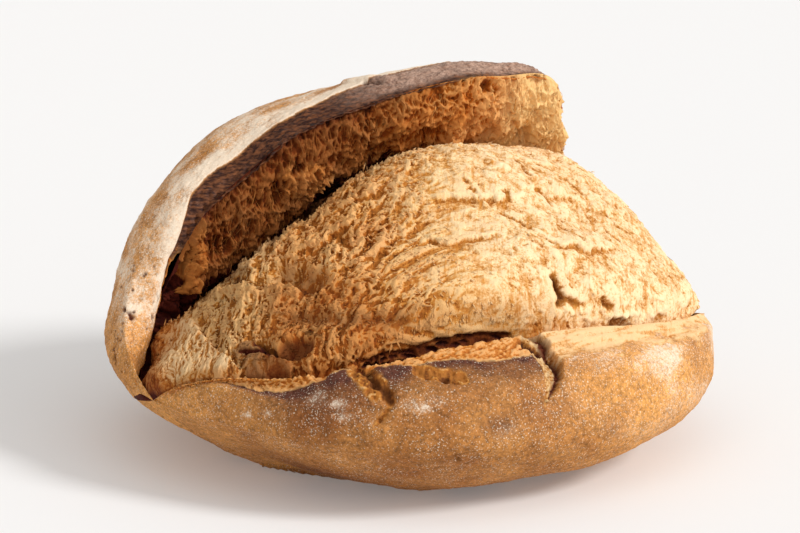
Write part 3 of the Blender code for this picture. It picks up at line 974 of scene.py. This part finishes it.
def crust_relief(surface):
    """Low relief of the crust: blisters, fine wrinkles along the slash, grain and small pores."""
    place = surface.local
    wrinkle = octaves(place, (14, 3.2, 3.2), 301, 2)
    near, _, own = cells(place / 2.6, 311)
    pits = -eased(near, 0.3, 0.15) * (own > 0.6)
    blisters = octaves(place, 9, 321, 3)
    return 0.2 * wrinkle + 0.3 * pits + 0.4 * blisters + 0.13 * ripple(place / 1.7, 325) - 0.15


def crust_shell(surface):
    """Inner wall of a crust: nine of its outer rows, moved in by the crust's thickness."""
    pick = np.linspace(surface.base.shape[1] - 1, 0, 9).astype(int)
    thick = sizes().crust_thickness / MM * smooth(surface.size[:, pick] / 0.3) * surface.size[:, pick]
    thick = thick * (0.2 + 0.8 * smooth(surface.left[:, pick] / 6))
    return surface.points[:, pick] - surface.normal[:, pick] * np.maximum(thick, 0.02)[..., None]


def tip_pores(place):
    """Cover of the small holes and splits of the crust where the ear meets the left end."""
    near, _, own = cells(place / (2.6, 4.0, 2.2), 441)
    split = np.abs(octaves(place, (9, 9, 16), 445, 2))
    holes = eased(near, 0.3, 0.16) * (own > 0.72)
    return holes + eased(split, 0.06, 0.01) * smooth(ripple(place / 9, 447) * 3 - 0.8)


def ragged_rim(surface, broken):
    """How far the ear's rim is pushed down, less how far it is broken off near the left end."""
    place, left = surface.local, surface.left
    edge = octaves(place, (3.2, 60, 60), 421, 3)
    uneven = 2.0 * ripple(place / (9, 60, 60), 423) + 1.6 * ripple(place / (3.6, 60, 60), 424)
    drawn_back = broken * np.exp(-left / 9) * (4.6 + uneven) * eased(surface.size, 0.2, 0.5)
    ragged = np.exp(-left / 1.4) * eased(surface.size, 0, 0.12) * (1 - 0.8 * eased(surface.along, 20, 40))
    return ragged * (0.5 + (0.8 + broken) * edge) - drawn_back


@functools.lru_cache(maxsize=None)
def back_surface():
    """Back crust from the underside over the floury crown to the ear's scorched rim: its sections moved out
    by the sum of lumps, wrinkles, streaks, old cracks, pores and marks, and its rim slid along the rows."""
    surface = Surface("back")
    left, along = surface.left, surface.along
    place = surface.local
    width = np.interp(surface.sigma, SCORCH_STATIONS, SCORCH_WIDTHS)[:, None]
    border = width + 0.9 * octaves(place, (12, 50, 50), 401, 3) * eased(width, 0, 2)
    scorch = smooth((border - left) / 0.8 + 0.5) * eased(width, 0, 0.4)
    step = -0.9 * scorch * eased(left, 0, 2)
    streaks = 0.4 * scorch * (octaves(place, (7, 1.5, 1.5), 411, 3) + octaves(place, 2.2, 415, 2))
    old_cracks = smooth(0.16 - np.abs(octaves(place, (34, 13, 13), 425, 3)))
    old_cracks = -0.8 * old_cracks * smooth(ripple(place / 30, 427) * 2 - 0.2) * (1 - scorch)
    pores = -0.9 * eased(along, -84, -96) * (1 - scorch) * tip_pores(place)
    marks, _ = surface.marked(BACK_MARKS, 0.6)
    skin = crust_relief(surface) + streaks + step + old_cracks + pores + marks
    surface.swell(eased(surface.size, 0, 0.15) * skin)
    broken = eased(surface.sigma, -0.66, -0.74)[:, None] * eased(surface.size, 0, 0.25)
    surface.slide_by(ragged_rim(surface, broken))
    surface.rest()
    beyond = left - width
    drift = octaves(place, (46, 13, 13), 431, 3)
    patch = octaves(place, (14, 9, 9), 433, 3)
    stripe = np.exp(-(np.maximum(beyond - 1, 0) / (9 + 6 * smooth(surface.sigma + 0.4)[:, None])) ** 2)
    high = eased(surface.base[..., 2], 12, 74)
    flour = (0.44 + 0.26 * stripe + 0.18 * drift + 0.16 * patch) * high * (1 - scorch)
    # Painted sheen, with a little flour dust, over the scorched rim's top towards the right
    dust_and_sheen = scorch * eased(along, -20, 20) * eased(left, 2, 7)
    broken_edge = np.maximum(broken, eased(along, 25, 40)) * np.exp(-left / 0.8)
    surface.values = held(
        flour=np.minimum(flour, 0.68),
        scorch=scorch,
        torn=broken_edge,
        cavity=np.full(scorch.shape, 0.5),
        pale=0.6 * marks,
        toast=broken_edge,
        # Painted shade in the pores and grooves
        deep=-0.9 * (pores + marks * (marks < 0)),
        tan=0.75 + 0.25 * drift,
        umber=dust_and_sheen,
    )
    return surface


def front_crack(surface):
    """Cover, height and painted shade of the big crack: it sinks from its left edge to a steep right edge,
    and its painted shade, darker on its ribs, is darkest at that edge.
    """
    along, height = surface.local[..., 0] + 0.7 * ripple(surface.local / 2.5, 601), surface.base[..., 2]
    left = np.interp(height, CRACK_HEIGHTS, CRACK_LEFT)
    right = np.interp(height, CRACK_HEIGHTS, CRACK_RIGHT)
    u = (along - left) / (right - left)
    inside = smooth(u * 6 + 0.3) * smooth((1 - u) * 9) * (height > 42) * (surface.base[..., 1] < -60)
    depth = np.interp(height, CRACK_HEIGHTS, CRACK_DEPTH)
    ribs = octaves(surface.local + 0.6 * u[..., None], (1.1, 1.1, 8), 611, 2)
    # Painted shade over the crack, more on its ribs, darkest at the steep right edge
    shade = inside * np.clip(0.28 + eased(u, 0.5, 0.8) * 0.9 + 0.4 * smooth(ribs), 0, 1)
    return inside, inside * (-depth * np.clip(u, 0, 1) ** 0.8 + 0.4 * ribs), shade


def torn_edge(place):
    """Height of the bread laid bare at a torn edge: crumbs, thin layers and grain."""
    crumbs = 0.5 - cells(place / (2.0, 1.6, 1.6), 531)[0]
    layers = octaves(place, (5, 1.3, 1.0), 533, 3)
    return 0.7 * crumbs + 0.85 * layers + 0.5 * octaves(place, 1.1, 537, 3)


def flour_spots(surface):
    """Strength of the flour left in spots: each fades by exp(-(gap / width)^2), flatter than it is wide."""
    spots = np.zeros(surface.run.shape)
    for where, wide, strength in FLOUR_SPOTS:
        gap = np.linalg.norm((surface.base - where) / (1.35, 1.35, 0.75), axis=-1)
        spots = np.maximum(spots, strength * np.exp(-(gap / wide) ** 2))
    return spots


@functools.lru_cache(maxsize=None)
def front_surface():
    """Front crust from the crack over the torn ledge and lip to the underside: its sections moved out by the
    sum of lumps, torn bread, wrinkles, pockets, notch, crack and marks, and slid back at the lip."""
    surface = Surface("front", SHORT_ROWS)
    run, along = surface.run, surface.along
    place = surface.local
    lip_at = run[:, surface.starts[2]][:, None]
    ledge_at = run[:, surface.starts[1]][:, None]
    over = run - lip_at
    shelf = smooth((along + 21 + 2 * ripple(place / 4, 541)) / 4)
    plate = eased(along, -92, -97)
    pocket_height, pocket = surface.marked(LEDGE_POCKETS, 0.4)
    notch_height, notch = surface.marked(NOTCH_MARKS, 1.1)
    marks, _ = surface.marked(FRONT_MARKS, 0.25)
    crack, crack_height, crack_painted_shade = front_crack(surface)
    edge_wave = 0.8 * octaves(place, (5, 5, 30), 501, 3)
    torn = smooth(0.5 + (0.4 - over + edge_wave) / 0.7) * (1 - shelf)
    torn = np.maximum(torn, smooth(np.maximum(notch, crack) * 1.8 - 0.2))
    rear = smooth((ledge_at + 0.6 + 0.9 * ripple(place / 5, 511) - run) / 1.2)
    rear = rear * (1 - shelf) * eased(along, -86, -80)
    web, web_far, web_own = cells(place / 2.3, 521)
    pores = rear * (-1.0 - 1.4 * smooth((web_far - web) / 0.35) * (0.4 + web_own))
    rough = torn_edge(place) * torn * (1 - 0.7 * smooth(pocket * 1.5))
    lip_line = np.exp(-((over - 0.1) / 0.55) ** 2) * (1 - shelf) * eased(along, -110, -106)
    round_off = -1.1 * np.exp(-(over / 2.6) ** 2) * (1 - 0.75 * (1 - shelf) * (1 - plate))
    skin = crust_relief(surface) * (1 - torn) * (1 - 0.5 * shelf * (over < 4))
    lines = 0.3 * shelf * eased(over, 5, 1) * octaves(place, (22, 1.8, 1.8), 545, 2)
    detail = rough + 0.45 * lip_line + skin + lines + marks
    whole = detail + pocket_height + notch_height + crack_height + round_off
    surface.swell(eased(surface.size, 0, 0.16) * (pores + eased(run, 0, 1.5) * whole))
    lift = -2.0 * np.exp(-(over / 7) ** 2) * eased(along, -95, -87) * eased(along, -42, -56)
    surface.slide_by(lift * (1 - shelf))
    surface.rest()
    peach = shelf * (1 - torn) * smooth((5.5 - over + 6 * octaves(place, (14, 7, 7), 581, 4, 0.7)) / 6)
    down = np.maximum(over, 0)
    dust = smooth(0.5 + 0.9 * octaves(place, (24, 12, 12), 551, 3))
    under = np.exp(-down / 9) * (1 - shelf) * eased(along, -112, -104)
    stain = np.exp(-(np.linalg.norm((surface.base - STAIN) / (2.4, 2.4, 1.2), axis=-1) / 3.2) ** 2)
    bare = (1 - torn) * (over > -91.5 * shelf)
    frosted = eased(surface.base[..., 0], 45, 95) * np.exp(-down / 32)
    flour = 0.1 + 0.18 * dust + 0.03 * under + 0.4 * flour_spots(surface) + 0.32 * frosted
    # Dark reddish-brown crust under the lip; its extra darkness towards the left end is painted shade
    umber = (1.5 + 0.6 * eased(along, -60, -80)) * under * (0.75 + 0.5 * octaves(place, 14, 561, 2))
    baked = 0.45 * eased(surface.base[..., 0], 10, 100) + 0.3 * eased(surface.base[..., 0], -40, -70)
    grooves = 0.1 + 0.9 * lines + 0.12 * octaves(place, (9, 3, 3), 583, 3)
    surface.values = held(
        flour=flour * bare * (1 - 0.5 * peach),
        scorch=np.zeros_like(torn),
        umber=np.clip(umber + 0.6 * stain, 0, 1) * bare,
        torn=torn + 0.8 * peach,
        # Painted light and shade of the torn bread's relief and the shelf's lines, lighter along the lip's
        # edge
        cavity=0.5 + 0.4 * (rough + 0.5 * notch_height) + 0.35 * pores + 0.4 * lip_line + peach * grooves,
        # Paler where torn and on the shelf, and painted light inside the crack
        pale=0.2 * torn * eased(along, -70, -10) + 0.2 * crack + 0.65 * peach,
        # Brown tint on torn bread, and painted shade in the porous gap
        toast=0.6 * torn * (1 - crack) * (1 - 0.6 * notch) + 0.3 * rear + 0.15 * peach,
        # Painted shade in the porous gap behind the ledge, the pockets, the notch and the crack
        deep=(0.6 * rear + 0.55 * smooth(pocket * 1.4) + notch * (0.3 + 0.5 * (notch_height < -2))
              + crack_painted_shade),
        tan=0.35 + baked + 0.25 * octaves(place, 34, 571, 3),
    )
    return surface


def crumb_colour(tree):
    """Colour of torn crumb, with painted light and shade: tips painted pale, hollows painted brown and
    golden, painted shade down in the slash, and golden fibres.
    """
    paint = colours()
    own = {name: add_node(tree, "Attribute", out="Fac", attribute_name=name) for name in CRUMB_VALUES}
    grain = grain_patterns(tree, CRUMB_GRAINS, (1.0, 0.16, 0.16))
    # Painted light and shade of the relief: the ramp runs from dark hollows to light tips, cream goes on
    # raised tips and golden into sunken places
    weighed = add_node(tree, "Math", (grain["speck"], 0.6, own["cavity"]), operation="MULTIPLY_ADD")
    sunken = add_node(tree, "Math", (own["cavity"], -0.5, grain["fibre"]), operation="MULTIPLY_ADD")
    warm = add_node(tree, "MapRange", (grain["mottle"], 0.35, 0.7, 0.0, 0.4))
    raised = add_node(tree, "MapRange", (weighed, 0.62, 0.84, 0.0, 0.85))
    golden = add_node(tree, "MapRange", (sunken, 0.28, 0.46, 0.0, 0.8))
    cream = add_node(tree, "Math", (own["pale"], raised), operation="MULTIPLY")
    ramp = add_node(tree, "ValToRGB", (weighed,), stops=(
        (0.40, hex_colour("4c260c")), (0.60, tuple(paint.crumb_dark)), (0.77, hex_colour("dfa044")),
        (0.86, tuple(paint.crumb_light))))
    colour = tinted(tree, ramp, (
        ("MIX", warm, hex_colour("cc8430")),
        ("MIX", cream, hex_colour("fae0b6")),
        ("MIX", golden, hex_colour("cc8838")),
        # Brown tint, partly painted shade
        ("MULTIPLY", own["toast"], hex_colour("daa976")),
        # Painted shade in recesses and under overhangs, with some brown crumb
        ("MULTIPLY", own["deep"], hex_colour("5e2e10")),
    ))
    return colour, grain


def crumb_material():
    """Open wheat crumb torn while hot: dry and matt, with a rough grain drawn out along its fibres."""
    material, tree, shader = new_material("torn_wheat_crumb")
    colour, grain = crumb_colour(tree)
    height = add_node(tree, "Math", (grain["fibre"], grain["speck"]), operation="ADD")
    bump = add_node(tree, "Bump", {"Height": height, "Strength": 0.8, "Distance": 0.55 * MM})
    plug(tree, shader, {"Base Color": colour, "Roughness": 0.85, "Specular IOR Level": 0.2, "Normal": bump})
    return material


def crust_material():
    """Baked wheat crust dusted with flour: matt brown skin, a glossier scorched rim and torn crumb edges."""
    paint = colours()
    material, tree, shader = new_material("floured_wheat_crust")
    crumb, _ = crumb_colour(tree)
    own = {name: add_node(tree, "Attribute", out="Fac", attribute_name=name) for name in CRUST_VALUES}
    grain = grain_patterns(tree, CRUST_GRAINS, (0.3, 1.0, 1.0))
    pattern = tinted(tree, grain["mottle"], (("MIX", 0.5, grain["grain"]),))
    mixed = add_node(tree, "Math", (grain["broad"], 0.8, own["tan"]), operation="MULTIPLY_ADD")
    cover = add_node(tree, "Math", (own["flour"], grain["dust"]), operation="ADD")
    salt = add_node(tree, "Math", (own["flour"], 0.24, grain["salt"]), operation="MULTIPLY_ADD")
    baked, streaks, sheen, film, powder, specks, bare, roughness, specular = (
        add_node(tree, "MapRange", window) for window in (
            (mixed, 0.6, 1.35, 0.0, 1.0),
            (grain["streak"], 0.42, 0.72, 0.0, 1.0),
            (pattern, 0.36, 0.6, 0.2, 1.0),
            (own["flour"], 0.28, 0.8, 0.0, 0.4),
            (cover, 0.9, 1.14, 0.0, sizes().flour_amount),
            (salt, 0.65, 0.79, 0.0, 0.66),
            (own["scorch"], 0.0, 0.5, 1.0, 0.0),
            (own["scorch"], 0.0, 1.0, 0.8, 0.5),
            (own["scorch"], 0.0, 1.0, 0.25, 0.2),
        ))
    # Painted sheen with a little flour dust: pale pinkish grey over the scorched rim's top
    dust_and_sheen = add_node(tree, "Math", (own["umber"], sheen), operation="MULTIPLY")
    specks = add_node(tree, "Math", (specks, bare), operation="MULTIPLY")
    spots = add_node(tree, "ValToRGB", (pattern,), stops=((0.36, 0.54), (0.5, 1.0), (0.62, 1.4)))
    burnt = tinted(tree, tuple(paint.scorch), (
        ("MIX", streaks, hex_colour("84502f")),
        ("MIX", dust_and_sheen, hex_colour("bc9a86")),
    ))
    colour = tinted(tree, tuple(paint.crust_dark), (
        ("MIX", baked, tuple(paint.crust_light)),
        ("MIX", own["umber"], hex_colour("583022")),
        ("MULTIPLY", 1.0, spots),
        ("MIX", own["scorch"], burnt),
        ("MIX", film, hex_colour("deb898")),
        ("MIX", powder, tuple(paint.flour)),
        ("MIX", specks, tuple(paint.flour)),
        # Painted shade in pores, grooves, pockets, the notch and the crack
        ("MULTIPLY", own["deep"], hex_colour("5e2e14")),
        ("MIX", own["torn"], crumb),
    ))
    relief = tinted(tree, pattern, (("MIX", own["scorch"], grain["streak"]),))
    bump = add_node(tree, "Bump", {"Height": relief, "Strength": 0.75, "Distance": 0.6 * MM})
    plug(tree, shader, {
        "Base Color": colour, "Roughness": roughness, "Specular IOR Level": specular, "Normal": bump})
    return material


def shared_material(name, maker):
    """The material of that name, made when it is first asked for."""
    return bpy.data.materials.get(name) or maker()


def picked(weight, count, seed):
    """Random places of the grid, more where the weight is greater."""
    draw = np.random.default_rng(seed)
    flat = weight.ravel() / weight.sum()
    chosen = draw.choice(flat.size, count, p=flat)
    return np.unravel_index(chosen, weight.shape), draw


def spread_area(surface):
    """Area that each point of the grid stands for: its step along the slash times its step down."""
    along = np.linalg.norm(np.gradient(surface.base, axis=0), axis=-1)
    down = np.linalg.norm(np.gradient(surface.base, axis=1), axis=-1)
    return along * down


def spindle_piece(name, paths, radii, values, material, sides, seed):
    """One joined piece of spindles carried along the paths."""
    turn = np.random.default_rng(seed).normal(size=(len(paths), 3))
    points, quads, tips, each = carried(paths, radii, sides, unit(turn))
    spread = {key: np.repeat(data, each) for key, data in values.items()}
    mount(make_mesh(name, points, quads, tips, spread, material))


def shards_on(surface, weight, count, seed, length, width, lean):
    """Paths of short shards that leave the surface at a lean, down along its fibres and a little aside."""
    (i, j), draw = picked(weight * spread_area(surface), count, seed)
    start, normal, down = surface.points[i, j], surface.normal[i, j], surface.down[i, j]
    side = np.cross(normal, down)
    aside = draw.normal(0, 0.35, count)[:, None]
    tilt = np.clip(draw.normal(lean, 0.2, count), 0.05, 1.3)[:, None]
    way = unit(down * np.cos(aside) + side * np.sin(aside))
    way = way * np.cos(tilt) + normal * np.sin(tilt)
    reach = way * (length * draw.lognormal(0, 0.4, count))[:, None]
    root, middle = start - 0.3 * reach - 0.25 * normal, start + 0.35 * reach + 0.12 * normal
    paths = np.stack([root, middle, start + reach], 1)
    radii = np.stack([np.zeros(count), width * draw.uniform(0.6, 1.5, count), np.zeros(count)], 1)
    values = {key: data[i, j] for key, data in surface.values.items()}
    # Painted light: each shard a little lighter than the crumb under it
    values["cavity"] = np.clip(values["cavity"] + draw.uniform(0.0, 0.35, count), 0, 1)
    return paths, radii, values


def strands_on(surface, weight, count, seed, rows, lift):
    """Paths of thin strands that leave the surface, stand off it and come back further down."""
    (i, j), draw = picked(weight * spread_area(surface), count, seed)
    u = np.linspace(0, 1, 7)
    far = draw.integers(rows // 3, rows, count)
    aside = draw.normal(0, 0.3, count) * far
    ring = np.clip(np.round(i[:, None] + aside[:, None] * u), 0, surface.points.shape[0] - 1).astype(int)
    row = np.clip(np.round(j[:, None] + far[:, None] * u), 0, surface.points.shape[1] - 1).astype(int)
    paths = surface.points[ring, row]
    for _ in range(2):
        paths[:, 1:-1] = (paths[:, :-2] + 2 * paths[:, 1:-1] + paths[:, 2:]) / 4
    bulge = (lift * draw.uniform(0.2, 1.3, count))[:, None, None] * np.sin(math.pi * u)[:, None]
    paths = paths + surface.normal[i, j][:, None] * bulge
    paths = paths + draw.normal(0, 0.12, paths.shape) * np.sin(math.pi * u)[:, None]
    radii = draw.uniform(0.10, 0.24, count)[:, None] * np.sin(math.pi * (0.15 + 0.7 * u))
    values = {key: data[i, j] for key, data in surface.values.items()}
    # Painted light and less painted shade on the strands that stand off the surface
    values["cavity"] = draw.uniform(0.5, 0.8, count)
    values["deep"] = values["deep"] * 0.7
    return paths, radii, values


class LOAF_OT_back_crust(bpy.types.Operator):
    """Back crust with its floury crown and scorched rim"""

    bl_idname = "loaf.back_crust"
    bl_label = "Back crust"

    def execute(self, context):
        surface = back_surface()
        material = shared_material("floured_wheat_crust", crust_material)
        close_in_parts("back_crust", surface, crust_shell(surface), material, PIECES["back"])
        return {"FINISHED"}


class LOAF_OT_front_crust(bpy.types.Operator):
    """Front crust with its torn ledge and lip"""

    bl_idname = "loaf.front_crust"
    bl_label = "Front crust"

    def execute(self, context):
        surface = front_surface()
        material = shared_material("floured_wheat_crust", crust_material)
        close_in_parts("front_crust", surface, crust_shell(surface), material, PIECES["front"])
        return {"FINISHED"}


class LOAF_OT_dome(bpy.types.Operator):
    """Dome of crumb that rose out of the slash"""

    bl_idname = "loaf.dome"
    bl_label = "Crumb dome"

    def execute(self, context):
        surface = dome_surface()
        material = shared_material("torn_wheat_crumb", crumb_material)
        close_in_parts("crumb_dome", surface, hidden_chord(surface, 6, 8.0), material, PIECES["dome"])
        return {"FINISHED"}


class LOAF_OT_ear_crumb(bpy.types.Operator):
    """Torn crumb on the underside of the ear"""

    bl_idname = "loaf.ear_crumb"
    bl_label = "Ear crumb"

    def execute(self, context):
        surface = ear_surface()
        material = shared_material("torn_wheat_crumb", crumb_material)
        close_in_parts("ear_crumb", surface, ear_back(surface), material, PIECES["tear"])
        return {"FINISHED"}


class LOAF_OT_shards(bpy.types.Operator):
    """Short shards of crumb that stand off the dome"""

    bl_idname = "loaf.shards"
    bl_label = "Crumb shards"

    def execute(self, context):
        surface = dome_surface()
        material = shared_material("torn_wheat_crumb", crumb_material)
        shaggy = np.clip(1 - 1.6 * surface.values["pale"], 0, 1)
        weight = (surface.size > 0.2) * (surface.run > 14) * (surface.left > 10) * shaggy
        shards = shards_on(surface, weight, count=3200, seed=701, length=1.8, width=0.3, lean=0.28)
        spindle_piece("dome_shards", *shards, material, sides=4, seed=703)
        return {"FINISHED"}


class LOAF_OT_strands(bpy.types.Operator):
    """Thin strands of crumb under the ear"""

    bl_idname = "loaf.strands"
    bl_label = "Crumb strands"

    def execute(self, context):
        surface = ear_surface()
        material = shared_material("torn_wheat_crumb", crumb_material)
        weight = (surface.along > -70) * (surface.run > 0.5) * (surface.left > 14)
        strands = strands_on(surface, weight, count=900, seed=711, rows=22, lift=0.7)
        spindle_piece("ear_strands", *strands, material, sides=3, seed=713)
        return {"FINISHED"}


class StageSettings(bpy.types.PropertyGroup):
    """Floor, light and camera."""

    floor: colour_property("Floor", "Pale floor", "dfdedd")
    floor_glow: strength_property("Floor glow", "Light that the translucent floor gives off from below", 0.13)
    world: colour_property("World", "Soft light from all round", "f7f5f3")
    world_strength: strength_property("World strength", "Strength of the light from all round", 0.56)
    key_strength: strength_property("Key strength", "Strength of the light from the right", 2.2)
    key_spread: angle_property("Key spread", "Angle that the light from the right fills", 16.0)
    fill_strength: strength_property("Fill strength", "Strength of the wide light from the front", 0.9)
    fill_spread: angle_property("Fill spread", "Angle that the wide light from the front fills", 90.0)
    lens: bpy.props.FloatProperty(
        name="Lens", description="Focal length of the camera in millimetres", default=125.0, min=1.0)
    elevation: angle_property("Elevation", "Angle at which the camera looks down", 14.0)


# Camera's aim, distance and sensor, the lights' places and aim, and the floor's half width, in millimetres
CAMERA_AIM = (-3.46, 0.41, 68.0)
CAMERA_DISTANCE = 1100.0
LIGHTS = {"key": (900.0, -350.0, 750.0), "fill": (250.0, -800.0, 800.0)}
LIGHT_AIM = (0.0, 0.0, 60.0)
SENSOR_WIDTH = 36.0
FLOOR_HALF = 6000.0


class LOAF_OT_stage(bpy.types.Operator):
    """Pale floor, soft studio light and the camera"""

    bl_idname = "loaf.stage"
    bl_label = "Stage"

    def execute(self, context):
        scene = context.scene
        settings = scene.loaf_stage
        corners = np.array([(-1, -1, 0), (1, -1, 0), (1, 1, 0), (-1, 1, 0)]) * FLOOR_HALF
        material, tree, shader = new_material("backlit_matt_acrylic")
        # Matt acrylic lit from below: an even, pale floor with a soft shadow
        plug(tree, shader, {
            "Base Color": settings.floor, "Emission Color": (1.0, 1.0, 1.0, 1.0),
            "Emission Strength": settings.floor_glow, "Roughness": 0.9, "Specular IOR Level": 0.1})
        quad, no_triangles = np.array([[0, 1, 2, 3]]), np.zeros((0, 3), int)
        floor = make_mesh("floor", corners, quad, no_triangles, {}, material, boxed=False)
        world = bpy.data.worlds.new("studio")
        scene.world = world
        world.use_nodes = True
        sky = world.node_tree.nodes["Background"]
        plug(world.node_tree, sky, {"Color": settings.world, "Strength": settings.world_strength})
        for name, where in LIGHTS.items():
            light = bpy.data.lights.new(name, "SUN")
            light.energy = getattr(settings, name + "_strength")
            light.angle = getattr(settings, name + "_spread")
            self.place(context, name, light, np.array(where), np.array(LIGHT_AIM))
        camera = bpy.data.cameras.new("camera")
        camera.lens = settings.lens
        camera.sensor_width = SENSOR_WIDTH
        tilt = settings.elevation
        aim = np.array(CAMERA_AIM)
        away = np.array((0.0, -math.cos(tilt), math.sin(tilt))) * CAMERA_DISTANCE
        scene.camera = self.place(context, "camera", camera, aim + away, aim)
        scene.view_settings.view_transform = "Standard"
        return {"FINISHED"}

    def place(self, context, name, data, where, aim):
        thing = bpy.data.objects.new(name, data)
        context.scene.collection.objects.link(thing)
        thing.location = where * MM
        thing.rotation_euler = Vector(aim - where).to_track_quat("-Z", "Y").to_euler()
        return thing


class LOAF_PT_panel(bpy.types.Panel):
    """Lists the loaf's pieces and settings"""

    bl_idname = "LOAF_PT_panel"
    bl_label = "Country Loaf"
    bl_space_type = "VIEW_3D"
    bl_region_type = "UI"
    bl_category = "Loaf"

    def draw(self, context):
        layout = self.layout
        for operator in STEPS:
            layout.operator(operator.bl_idname)
        for group in (context.scene.loaf_sizes, context.scene.loaf_colours, context.scene.loaf_stage):
            for key in group.bl_rna.properties.keys():
                if key not in ("rna_type", "name"):
                    layout.prop(group, key)


STEPS = (
    LOAF_OT_back_crust, LOAF_OT_front_crust, LOAF_OT_dome, LOAF_OT_ear_crumb, LOAF_OT_shards,
    LOAF_OT_strands, LOAF_OT_stage)
GROUPS = {"loaf_sizes": LoafSizes, "loaf_colours": LoafColours, "loaf_stage": StageSettings}


def register():
    for group in GROUPS.values():
        bpy.utils.register_class(group)
    for key, group in GROUPS.items():
        setattr(bpy.types.Scene, key, bpy.props.PointerProperty(type=group))
    for thing in STEPS + (LOAF_PT_panel,):
        bpy.utils.register_class(thing)


def unregister():
    for thing in STEPS + (LOAF_PT_panel,):
        bpy.utils.unregister_class(thing)
    for key, group in GROUPS.items():
        delattr(bpy.types.Scene, key)
        bpy.utils.unregister_class(group)


def main():
    register()
    for step in STEPS:
        group, name = step.bl_idname.split(".")
        getattr(getattr(bpy.ops, group), name)()


if __name__ == "__main__":
    main()
